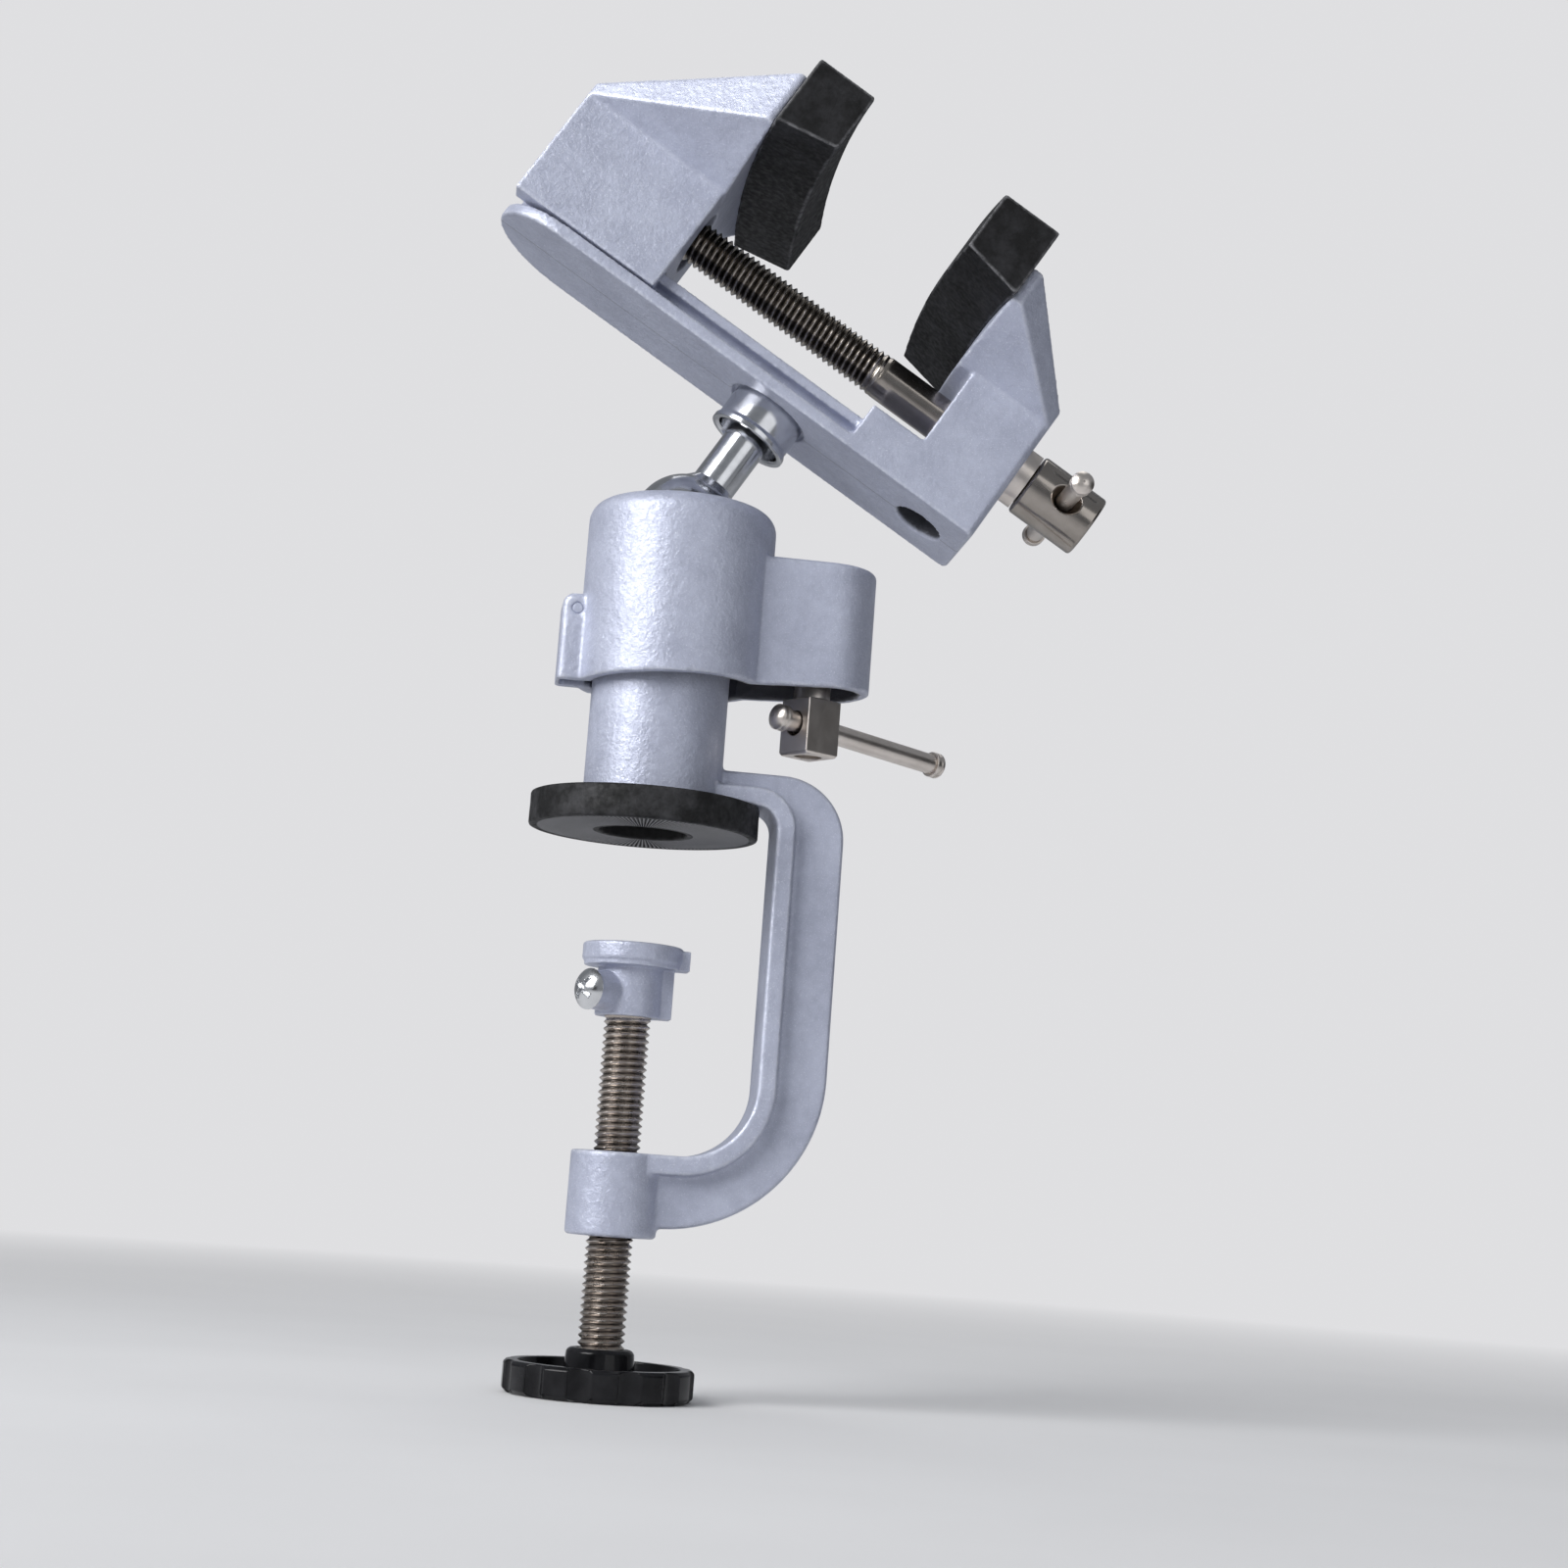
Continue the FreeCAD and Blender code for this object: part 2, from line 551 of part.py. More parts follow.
def make_pressure_pad():
    """Flanged swivel cup with a small boss for its cross screw and a rib on the arm's side."""
    low = PRESS_TOP_Z - PRESS_HEIGHT
    flange_low = PRESS_TOP_Z - PRESS_FLANGE_HEIGHT
    step_low = flange_low - PRESS_STEP_HEIGHT
    flange = upright(PRESS_FLANGE_RADIUS, flange_low, PRESS_TOP_Z)
    rims = edges_where(flange, lambda edge: at_height(edge, flange_low)
                       or at_height(edge, PRESS_TOP_Z))
    flange = flange.makeFillet(PRESS_EDGE_ROUND, rims)
    step = upright(PRESS_STEP_RADIUS, step_low, PRESS_TOP_Z - PRESS_EDGE_ROUND)
    neck = upright(PRESS_NECK_RADIUS, low, PRESS_TOP_Z - PRESS_EDGE_ROUND)
    rib_width = (-PRESS_RIB_HALF_WIDTH, PRESS_RIB_HALF_WIDTH)
    rib = block((0, PRESS_RIB_REACH), rib_width, (step_low, PRESS_TOP_Z - PRESS_EDGE_ROUND))
    neck_rib = block((0, PRESS_RIB_NECK_REACH), rib_width, (low, step_low))
    outward = ray(PRESS_SCREW_AZIMUTH)
    side_boss = cylinder(PRESS_BOSS_RADIUS, Vector(0, 0, PRESS_SCREW_Z), PRESS_BOSS_REACH, outward)
    cup = flange.fuse([step, neck, rib, neck_rib, side_boss]).removeSplitter()
    bore = upright(CLAMP_SCREW_RADIUS + RUNNING, low - PAST, CLAMP_TIP_Z + LOOSE)
    cross_bore = cylinder(PRESS_SCREW_SHANK_RADIUS + SEATED, Vector(0, 0, PRESS_SCREW_Z),
                          PRESS_BOSS_REACH + PAST, outward)
    return cup.cut(bore).cut(cross_bore)


def make_pressure_pad_screw():
    """Pan-head cross screw whose tip runs in the clamp screw's groove."""
    outward = ray(PRESS_SCREW_AZIMUTH)
    head = point_along(pan_head(PRESS_SCREW_HEAD_RADIUS, PRESS_SCREW_HEAD_HEIGHT),
                       outward * PRESS_BOSS_REACH + Vector(0, 0, PRESS_SCREW_Z), outward)
    tip = CLAMP_SCREW_RADIUS - SCREW_GROOVE_DEPTH + LOOSE
    shank = cylinder(PRESS_SCREW_SHANK_RADIUS, outward * tip + Vector(0, 0, PRESS_SCREW_Z),
                     PRESS_BOSS_REACH - tip, outward)
    return head.fuse(shank).removeSplitter()


def make_hand_knob():
    """Open dish knob with a raised hub and shallow flutes round the rim."""
    floor = KNOB_RIM_TOP - KNOB_DISH_DEPTH
    inner = KNOB_RADIUS - KNOB_RIM_WALL
    profile = [
        (0, KNOB_BOTTOM_Z), (KNOB_RADIUS - KNOB_EDGE_ROUND, KNOB_BOTTOM_Z),
        (KNOB_RADIUS, KNOB_BOTTOM_Z + KNOB_EDGE_ROUND), (KNOB_RADIUS, KNOB_RIM_TOP - KNOB_LIP_ROUND),
        (KNOB_RADIUS - KNOB_LIP_ROUND, KNOB_RIM_TOP), (inner, KNOB_RIM_TOP),
        (inner - KNOB_WALL_DRAFT, floor), (KNOB_HUB_RADIUS + KNOB_WALL_DRAFT, floor),
        (KNOB_HUB_RADIUS, KNOB_HUB_TOP - KNOB_LIP_ROUND),
        (KNOB_HUB_RADIUS - KNOB_LIP_ROUND, KNOB_HUB_TOP), (0, KNOB_HUB_TOP),
    ]
    knob = turned(profile)
    centre = KNOB_RADIUS + KNOB_FLUTE_RADIUS - KNOB_FLUTE_DEPTH
    flutes = []
    for index in range(KNOB_FLUTES):
        side = ray(360.0 * (index + 0.5) / KNOB_FLUTES) * centre
        flutes.append(upright(KNOB_FLUTE_RADIUS, KNOB_BOTTOM_Z - PAST, KNOB_RIM_TOP + PAST,
                              side.x, side.y))
    bore = make_insert_blank(SEATED)
    return knob.cut(flutes).cut(bore)


def make_insert_blank(play):
    """Outer form of the knob's insert, larger all round by the play."""
    low = KNOB_BOTTOM_Z + KNOB_FLOOR
    barrel = upright(INSERT_RADIUS + play, low, KNOB_HUB_TOP)
    flange = upright(INSERT_FLANGE_RADIUS + play, low, low + INSERT_FLANGE_HEIGHT + play)
    return barrel.fuse(flange).removeSplitter()


def make_knob_insert():
    """Metal sleeve moulded in the knob that grips the clamp screw's tail."""
    tail_top = KNOB_HUB_TOP - CLAMP_PITCH
    tail = upright(CLAMP_SCREW_RADIUS - THREAD_DEPTH, KNOB_BOTTOM_Z, tail_top)
    mouth = upright(CLAMP_SCREW_RADIUS, tail_top, KNOB_HUB_TOP + PAST)
    return make_insert_blank(0).cut(tail).cut(mouth)


# ================================================================ ball seat and stud
def seat_screw_head_z():
    """Height of the underside of the seat screw's countersunk head."""
    cup_bottom = BALL_Z - SEAT_CUP_RADIUS
    return cup_bottom - SEAT_SCREW_SINK - SEAT_SCREW_HEAD_HEIGHT


def seat_screw_form(play):
    """Countersunk screw down the socket's axis, larger all round by the play."""
    low = seat_screw_head_z()
    shank = upright(SEAT_SCREW_RADIUS + play, low - SEAT_SCREW_LENGTH, low, SOCKET_X)
    cone = Part.makeCone(SEAT_SCREW_RADIUS + play, SEAT_SCREW_HEAD_RADIUS + play,
                         SEAT_SCREW_HEAD_HEIGHT, Vector(SOCKET_X, 0, low), Z_AXIS)
    return shank.fuse(cone).removeSplitter()


def make_seat_screw():
    """Countersunk cross screw that holds the ball seat on the column's neck."""
    recess = cross_recess(RECESS_DEPTH)
    recess.translate(Vector(SOCKET_X, 0, seat_screw_head_z() + SEAT_SCREW_HEAD_HEIGHT))
    return seat_screw_form(0).cut(recess)


def make_ball_seat():
    """Flanged cup under the ball, screwed to the column's neck."""
    flange_top = SEAT_BOTTOM_Z + SEAT_FLANGE_HEIGHT
    seat = upright(SEAT_FLANGE_RADIUS, SEAT_BOTTOM_Z, flange_top, SOCKET_X).fuse(
        upright(SEAT_RADIUS, SEAT_BOTTOM_Z, SEAT_TOP_Z, SOCKET_X)).removeSplitter()
    cup = Part.makeSphere(SEAT_CUP_RADIUS, Vector(SOCKET_X, 0, BALL_Z))
    head_bottom = seat_screw_head_z()
    well = upright(SEAT_SCREW_HEAD_RADIUS + SEATED, head_bottom + SEAT_SCREW_HEAD_HEIGHT,
                   BALL_Z, SOCKET_X)
    return seat.cut(cup).cut(seat_screw_form(SEATED)).cut(well)


def make_ball_stud():
    """Ball, stem and threaded end in one turned piece, drawn upright about the ball."""
    ball = Part.makeSphere(BALL_RADIUS)
    stem = upright(STEM_RADIUS, 0, STEM_LENGTH + COLLAR_SEAT_DEPTH)
    skirt_low = math.sqrt(BALL_RADIUS ** 2 - (STEM_RADIUS + STEM_SKIRT) ** 2)
    skirt = Part.makeCone(STEM_RADIUS + STEM_SKIRT, STEM_RADIUS, STEM_SKIRT_HEIGHT,
                          Vector(0, 0, skirt_low), Z_AXIS)
    thread_start = STEM_LENGTH + COLLAR_SEAT_DEPTH
    thread = upright(STUD_RADIUS, thread_start, STEM_LENGTH + STUD_DEPTH)
    stud = ball.fuse([stem, skirt, thread]).removeSplitter()
    stud.translate(Vector(0, 0, -STEM_LENGTH))
    return lean(stud)


def make_stem_collar():
    """Cup-shaped ring round the stem, seated in the underside of the base."""
    play = STEM_RADIUS + RUNNING
    low = -COLLAR_HEIGHT
    profile = [
        (play, low + COLLAR_CUP_DEPTH), (COLLAR_CUP_RADIUS, low + COLLAR_CUP_DEPTH),
        (COLLAR_CUP_RADIUS, low + COLLAR_LIP), (COLLAR_CUP_RADIUS + COLLAR_LIP, low),
        (COLLAR_RADIUS, low), (COLLAR_RADIUS, low + COLLAR_BAND),
        (COLLAR_RADIUS - COLLAR_LIP, low + COLLAR_BAND + COLLAR_BAND_TAPER),
        (COLLAR_RADIUS - COLLAR_LIP, COLLAR_SEAT_DEPTH), (play, COLLAR_SEAT_DEPTH),
    ]
    return lean(turned(profile))


# ================================================================ socket casing
def make_socket_casing():
    """Round housing over the ball with a lobe for the lock screw and an ear for the pin."""
    body = upright(CASING_RADIUS, CASING_BOTTOM_Z, CASING_TOP_Z, SOCKET_X)
    body = body.makeFillet(CASING_TOP_ROUND, edges_where(
        body, lambda edge: at_height(edge, CASING_TOP_Z)))
    lobe = obround(LOBE_X, LOBE_RADIUS, SOCKET_X, CASING_BOTTOM_Z, LOBE_TOP_Z)
    lobe = lobe.makeFillet(LOBE_ROUND, edges_where(
        lobe, lambda edge: at_height(edge, LOBE_TOP_Z)))
    ear = block((EAR_END_X, SOCKET_X), (-EAR_HALF_WIDTH, EAR_HALF_WIDTH),
                (CASING_BOTTOM_Z, EAR_TOP_Z))
    ear = ear.makeFillet(EAR_TOP_ROUND, edges_where(
        ear, lambda edge: abs(edge.CenterOfMass.x - EAR_END_X) < SAME
        and at_height(edge, EAR_TOP_Z)))
    ear = ear.makeFillet(EAR_ROUND, edges_where(
        ear, lambda edge: abs(edge.CenterOfMass.x - EAR_END_X) < SAME
        and edge.BoundBox.ZLength > EAR_ROUND))
    shell = body.fuse([lobe, ear]).removeSplitter()
    left = SOCKET_X - CASING_RADIUS
    right = LOBE_X + LOBE_RADIUS
    slope = (LOBE_BOTTOM_Z - CASING_BOTTOM_Z) / (right - left)
    far = CASING_RADIUS + PAST
    underside = [
        Vector(left - far, -far, CASING_BOTTOM_Z), Vector(left, -far, CASING_BOTTOM_Z),
        Vector(right + far, -far, LOBE_BOTTOM_Z + slope * far),
        Vector(right + far, -far, CASING_BOTTOM_Z - far), Vector(left - far, -far, CASING_BOTTOM_Z - far),
    ]
    shell = shell.cut(prism(underside, Vector(0, 2 * far, 0)))

    bore = upright(CASING_BORE_RADIUS, CASING_BOTTOM_Z - PAST, CASING_BORE_TOP_Z, SOCKET_X)
    throat = upright(SEAT_RADIUS + ROOMY, CASING_BOTTOM_Z, CASING_THROAT_TOP_Z, SOCKET_X)
    ball_room = Part.makeSphere(SEAT_CUP_RADIUS, Vector(SOCKET_X, 0, BALL_Z))
    channel = obround(LOBE_X, LOBE_RADIUS - LOBE_WALL, SOCKET_X, CASING_BOTTOM_Z - PAST,
                      LOBE_TOP_Z - LOBE_WALL)
    eye_room = ROCKER_EYE_RADIUS + LOOSE
    slot_width = (-EAR_SLOT_HALF_WIDTH, EAR_SLOT_HALF_WIDTH)
    slot = block((PIN_X - eye_room, SOCKET_X), slot_width, (CASING_BOTTOM_Z - PAST, PIN_Z)).fuse([
        block((PIN_X, SOCKET_X), slot_width, (CASING_BOTTOM_Z, PIN_Z + eye_room)),
        cylinder(eye_room, Vector(PIN_X, -EAR_SLOT_HALF_WIDTH, PIN_Z), 2 * EAR_SLOT_HALF_WIDTH,
                 Y_AXIS)])
    pin_hole = cylinder(PIN_RADIUS, Vector(PIN_X, -EAR_HALF_WIDTH - PAST, PIN_Z),
                        2 * (EAR_HALF_WIDTH + PAST), Y_AXIS)
    return shell.cut([bore, throat, ball_room, channel, slot, pin_hole])


def make_pivot_pin():
    """Cross pin in the ear that carries the rocker."""
    length = 2 * (EAR_HALF_WIDTH - PIN_SET_IN)
    pin = cylinder(PIN_RADIUS, Vector(PIN_X, -length / 2, PIN_Z), length, Y_AXIS)
    return pin.makeChamfer(PIN_CHAMFER, pin.Edges[:1] + pin.Edges[-1:])


def make_rocker():
    """Ring lever: an eye on the pin, a ring under the seat's flange and an arm to the screw."""
    low = ROCKER_TOP_Z - ROCKER_THICKNESS
    ring = upright(ROCKER_RING_RADIUS, low, ROCKER_TOP_Z, SOCKET_X)
    tail = block((PIN_X, SOCKET_X), (-ROCKER_HALF_EYE, ROCKER_HALF_EYE), (low, ROCKER_TOP_Z))
    eye = cylinder(ROCKER_EYE_RADIUS, Vector(PIN_X, -ROCKER_HALF_EYE, PIN_Z),
                   2 * ROCKER_HALF_EYE, Y_AXIS)
    arm = obround(LOCK_X, ROCKER_ARM_HALF_WIDTH, SOCKET_X, low, ROCKER_TOP_Z)
    rocker = ring.fuse([tail, eye, arm]).removeSplitter()
    column_hole = upright(NECK_RADIUS + ROOMY, low - PAST, PIN_Z + ROCKER_EYE_RADIUS + PAST,
                          SOCKET_X)
    pin_hole = cylinder(PIN_RADIUS + RUNNING, Vector(PIN_X, -EAR_HALF_WIDTH, PIN_Z),
                        2 * EAR_HALF_WIDTH, Y_AXIS)
    flange_room = upright(SEAT_FLANGE_RADIUS + LOOSE, ROCKER_TOP_Z,
                          PIN_Z + ROCKER_EYE_RADIUS + PAST, SOCKET_X)
    return rocker.cut([column_hole, pin_hole, flange_room])


def make_nut_plate():
    """Tapped plate pressed in the lobe's mouth, which the lock screw turns in."""
    top = NUT_PLATE_BOTTOM_Z + NUT_PLATE_THICKNESS
    plate = obround(LOBE_X, LOBE_RADIUS - LOBE_WALL, NUT_PLATE_START_X, NUT_PLATE_BOTTOM_Z, top)
    return plate.cut(upright(LOCK_SHANK_RADIUS + RUNNING, NUT_PLATE_BOTTOM_Z - PAST, top + PAST,
                             LOCK_X))


def button_base_z():
    """Height of the lock screw's end face, where the thrust button sits."""
    return ROCKER_TOP_Z - ROCKER_THICKNESS - SEATED * 2 - BUTTON_HEIGHT


def make_lock_screw():
    """Square-headed screw with a cross hole for its bar and a blind hole in its end."""
    end = button_base_z() - SEATED
    shank = upright(LOCK_SHANK_RADIUS, LOCK_BLOCK_TOP_Z - PAST, end, LOCK_X)
    half = LOCK_BLOCK_SIDE / 2
    head = block((-half, half), (-half, half), (LOCK_BLOCK_BOTTOM_Z, LOCK_BLOCK_TOP_Z))
    ends = edges_where(head, lambda edge: at_height(edge, LOCK_BLOCK_BOTTOM_Z))
    head = head.makeChamfer(LOCK_BLOCK_CHAMFER, ends)
    head.rotate(Vector(0, 0, 0), Z_AXIS, LOCK_BAR_AZIMUTH)
    head.translate(Vector(LOCK_X, 0, 0))
    blind = upright(LOCK_HOLE_RADIUS, LOCK_BLOCK_BOTTOM_Z - PAST,
                    LOCK_BLOCK_BOTTOM_Z + LOCK_HOLE_DEPTH, LOCK_X)
    direction = ray(LOCK_BAR_AZIMUTH)
    cross = cylinder(LOCK_BAR_RADIUS + LOCK_BAR_PLAY,
                     Vector(LOCK_X, 0, LOCK_BAR_Z) - direction * LOCK_BLOCK_SIDE,
                     2 * LOCK_BLOCK_SIDE, direction)
    pocket = upright(BUTTON_STEM_RADIUS + RUNNING, end - BUTTON_STEM_LENGTH - SEATED,
                     end + PAST, LOCK_X)
    return shank.fuse(head).removeSplitter().cut([blind, cross, pocket])


def make_thrust_button():
    """Small button on the lock screw's end that presses on the rocker without turning."""
    low = button_base_z()
    disc = upright(BUTTON_RADIUS, low, low + BUTTON_HEIGHT, LOCK_X)
    disc = disc.makeFillet(BUTTON_ROUND, edges_where(
        disc, lambda edge: at_height(edge, low + BUTTON_HEIGHT)))
    stem = upright(BUTTON_STEM_RADIUS, low - BUTTON_STEM_LENGTH, low, LOCK_X)
    return disc.fuse(stem).removeSplitter()


# ================================================================ vise base
def arc_cutter(front_u, back_u, low, high):
    """Region between a bowed line across the head and the line at back_u.

    The bowed line is at front_u at the grip's ends and JAW_BOW nearer to -u in the middle."""
    span = GRIP_HALF_SPAN
    start = Vector(front_u, -span, low)
    middle = Vector(front_u - JAW_BOW, 0, low)
    end = Vector(front_u, span, low)
    edges = [
        Part.Arc(start, middle, end).toShape(),
        Part.LineSegment(end, Vector(back_u, span, low)).toShape(),
        Part.LineSegment(Vector(back_u, span, low), Vector(back_u, -span, low)).toShape(),
        Part.LineSegment(Vector(back_u, -span, low), start).toShape(),
    ]
    face = Part.Face(Part.Wire(edges))
    return face.extrude(Vector(0, 0, high - low))


def both_sides(u, v, w):
    """Pair of mirrored points, the -Y one first."""
    return [Vector(u, -v, w), Vector(u, v, w)]


def flare(front_u, back_u, brow_rise, top_w):
    """Upper jaw body: from the end face's brow it widens and climbs to the wing plate."""
    foot = both_sides(back_u, JAW_HALF_WIDTH, SHOULDER_W)
    brow = both_sides(back_u, JAW_HALF_WIDTH, SHOULDER_W + brow_rise)
    root = both_sides(front_u, JAW_HALF_WIDTH, SHOULDER_W)
    tips = both_sides(front_u, WING_HALF_SPAN, WING_LOW_W)
    tops = both_sides(front_u, WING_HALF_SPAN, top_w)
    outlines = [
        [foot[0], foot[1], root[1], root[0]],
        [foot[0], foot[1], brow[1], brow[0]],
        [root[0], root[1], tips[1], tops[1], tops[0], tips[0]],
        [brow[0], brow[1], tops[1], tops[0]],
    ]
    for side in (0, 1):
        outlines.append([foot[side], root[side], tips[side]])
        outlines.append([foot[side], tips[side], tops[side], brow[side]])
    faces = [Part.Face(Part.makePolygon(points + points[:1])) for points in outlines]
    solid = Part.Solid(Part.Shell(faces))
    if solid.Volume < 0:
        solid.reverse()
    return solid


def wing_plate(front_u, far_u, top_w):
    """Six-sided plate across the jaw, between two u values."""
    root = both_sides(front_u, JAW_HALF_WIDTH, SHOULDER_W)
    tips = both_sides(front_u, WING_HALF_SPAN, WING_LOW_W)
    tops = both_sides(front_u, WING_HALF_SPAN, top_w)
    outline = [root[0], root[1], tips[1], tops[1], tops[0], tips[0]]
    return prism(outline, Vector(far_u - front_u, 0, 0))


def jaw_face(front_u, facing, top_w):
    """Wing plate with its bowed face and the tongue that holds the rubber grip.

    Facing is +1 for the moving jaw, whose grip looks to +u, and -1 for the fixed jaw."""
    plate_u = front_u + facing * WING_PROUD
    beyond = plate_u + facing * GRIP_THICKNESS
    plate = wing_plate(front_u, plate_u if facing > 0 else plate_u - JAW_BOW, top_w)
    low = SHOULDER_W - PAST
    plate = plate.cut(arc_cutter(plate_u, beyond, low, top_w + PAST))
    tongue_tip = plate_u + facing * TONGUE_DEPTH
    tongue = block(sorted((front_u, tongue_tip)), (-TONGUE_HALF_SPAN, TONGUE_HALF_SPAN),
                   (TONGUE_W - TONGUE_HALF_HEIGHT, TONGUE_W + TONGUE_HALF_HEIGHT))
    tongue = tongue.cut(arc_cutter(tongue_tip, beyond, low, top_w))
    return plate.fuse(tongue)


def make_vise_base():
    """Casting of the head: sole plate, T rail, step and the fixed jaw in one piece."""
    half = BASE_HALF_WIDTH
    end_centre = BASE_LEFT_U + BASE_HALF_WIDTH
    sole = block((end_centre, BASE_RIGHT_U), (-half, half), (0, BASE_PLATE)).fuse(
        upright(BASE_HALF_WIDTH, 0, BASE_PLATE, end_centre)).removeSplitter()
    neck = block((RAIL_LEFT_U, STEP_U + PAST), (-RAIL_NECK_HALF_WIDTH, RAIL_NECK_HALF_WIDTH),
                 (0, RAIL_TOP_W))
    rail = block((RAIL_LEFT_U, STEP_U + PAST), (-RAIL_HALF_WIDTH, RAIL_HALF_WIDTH),
                 (RAIL_UNDERSIDE_W, RAIL_TOP_W))
    outline = upright(BASE_HALF_WIDTH - RAIL_END_INSET, 0, RAIL_TOP_W, end_centre).fuse(
        block((end_centre, STEP_U + PAST), (-half, half), (0, RAIL_TOP_W)))
    rail = rail.fuse(neck).common(outline)
    step = block((STEP_U, BASE_RIGHT_U), (-half, half), (0, STEP_TOP_W))
    jaw = block((FIXED_FRONT_U, BASE_RIGHT_U), (-half, half), (0, SHOULDER_W))
    lower = sole.fuse([rail, step, jaw]).removeSplitter()
    uprights = edges_where(lower, lambda edge: is_upright_at(edge, BASE_RIGHT_U, half))
    lower = lower.makeFillet(JAW_CORNER_ROUND, uprights)
    upper = flare(FIXED_FRONT_U, BASE_RIGHT_U, FIXED_BROW_RISE, FIXED_TOP_W)
    base = lower.fuse([upper, jaw_face(FIXED_FRONT_U, -1, FIXED_TOP_W)]).removeSplitter()

    channel = block((end_centre, STEP_U), (-SPINE_CHANNEL_HALF_WIDTH, SPINE_CHANNEL_HALF_WIDTH),
                    (RAIL_TOP_W - SPINE_CHANNEL_DEPTH, RAIL_TOP_W + PAST))
    lead_bore = cylinder(LEAD_RADIUS + RUNNING, Vector(STEP_U, 0, LEAD_W),
                         BASE_RIGHT_U - STEP_U + PAST, X_AXIS)
    collar_seat = upright(COLLAR_RADIUS - COLLAR_LIP + COLLAR_POCKET_PLAY, -PAST, COLLAR_SEAT_DEPTH)
    stud_bore = upright(STUD_RADIUS + RUNNING, -PAST, STUD_DEPTH + LOOSE)
    access = upright(ACCESS_HOLE_RADIUS, -PAST, ACCESS_HOLE_DEPTH, ACCESS_HOLE_U)
    retainer_bore = upright(RETAINER_RADIUS + SEATED, 0, LEAD_W, ACCESS_HOLE_U)
    return lean(base.cut([channel, lead_bore, collar_seat, stud_bore, access, retainer_bore]))


def is_upright_at(edge, u, v):
    """True for an upright edge at u on either side at distance v."""
    centre = edge.CenterOfMass
    return (edge.BoundBox.ZLength > BASE_PLATE and abs(centre.x - u) < SAME
            and abs(abs(centre.y) - v) < SAME)


def make_moving_jaw():
    """Sliding jaw: a block that straddles the rail and flares up to its wing plate."""
    half = JAW_HALF_WIDTH
    lower = block((MOVING_BACK_U, MOVING_FRONT_U), (-half, half), (JAW_UNDERSIDE_W, SHOULDER_W))
    upper = flare(MOVING_FRONT_U, MOVING_BACK_U, MOVING_BROW_RISE, MOVING_TOP_W)
    jaw = lower.fuse([upper, jaw_face(MOVING_FRONT_U, 1, MOVING_TOP_W)]).removeSplitter()
    length = (MOVING_BACK_U - PAST, MOVING_FRONT_U + PAST)
    rail_half = RAIL_HALF_WIDTH + SLOT_PLAY
    neck_half = RAIL_NECK_HALF_WIDTH + SLOT_PLAY
    rail_room = block(length, (-rail_half, rail_half),
                      (RAIL_UNDERSIDE_W - SLOT_PLAY, RAIL_TOP_W + SLOT_PLAY))
    neck_room = block(length, (-neck_half, neck_half), (JAW_UNDERSIDE_W - PAST, RAIL_TOP_W))
    bore = cylinder(LEAD_RADIUS + LOOSE, Vector(MOVING_BACK_U - PAST, 0, LEAD_W),
                    MOVING_FRONT_U - MOVING_BACK_U + 2 * PAST, X_AXIS)
    nut_room = cylinder(NUT_RADIUS, Vector(nut_start_u(), 0, LEAD_W),
                        MOVING_FRONT_U - nut_start_u() + PAST, X_AXIS)
    return lean(jaw.cut([rail_room, neck_room, bore, nut_room]))


def nut_start_u():
    """Back face of the nut pressed in the moving jaw."""
    return MOVING_FRONT_U - NUT_SET_BACK - NUT_LENGTH


def make_jaw_nut():
    """Round nut pressed in the moving jaw's front."""
    start = Vector(nut_start_u(), 0, LEAD_W)
    nut = cylinder(NUT_RADIUS, start, NUT_LENGTH, X_AXIS)
    return lean(nut.cut(cylinder(LEAD_RADIUS + RUNNING, start - X_AXIS * PAST,
                             NUT_LENGTH + 2 * PAST, X_AXIS)))


def make_grip(front_u, facing):
    """Rubber grip: a bowed bar with a sloping underside and a groove for the jaw's tongue."""
    plate_u = front_u + facing * WING_PROUD
    face_u = plate_u + facing * GRIP_THICKNESS
    low_back = GRIP_BACK_LOW_W
    low_front = GRIP_FRONT_LOW_W
    span = GRIP_HALF_SPAN
    slope = (low_front - low_back) / GRIP_THICKNESS
    outline = [
        Vector(plate_u - facing * JAW_BOW, -span, low_back - slope * JAW_BOW),
        Vector(face_u + facing * JAW_BOW, -span, low_front + slope * JAW_BOW),
        Vector(face_u + facing * JAW_BOW, -span, GRIP_TOP_W),
        Vector(plate_u - facing * JAW_BOW, -span, GRIP_TOP_W),
    ]
    bar = prism(outline, Vector(0, 2 * span, 0))
    low = low_back - JAW_BOW
    high = GRIP_TOP_W + PAST
    beyond = arc_cutter(face_u, face_u + facing * GRIP_THICKNESS, low, high)
    behind = arc_cutter(plate_u, plate_u - facing * GRIP_THICKNESS, low, high)
    bar = bar.cut([beyond, behind])
    ends = edges_where(bar, lambda edge: edge.BoundBox.YLength > span)
    bar = bar.makeFillet(GRIP_ROUND, ends)
    groove = block(sorted((plate_u - facing * GRIP_THICKNESS, plate_u + facing * (TONGUE_DEPTH + LOOSE))),
                   (-TONGUE_HALF_SPAN - LOOSE, TONGUE_HALF_SPAN + LOOSE),
                   (TONGUE_W - TONGUE_HALF_HEIGHT - SEATED, TONGUE_W + TONGUE_HALF_HEIGHT + SEATED))
    return lean(bar.cut(groove))


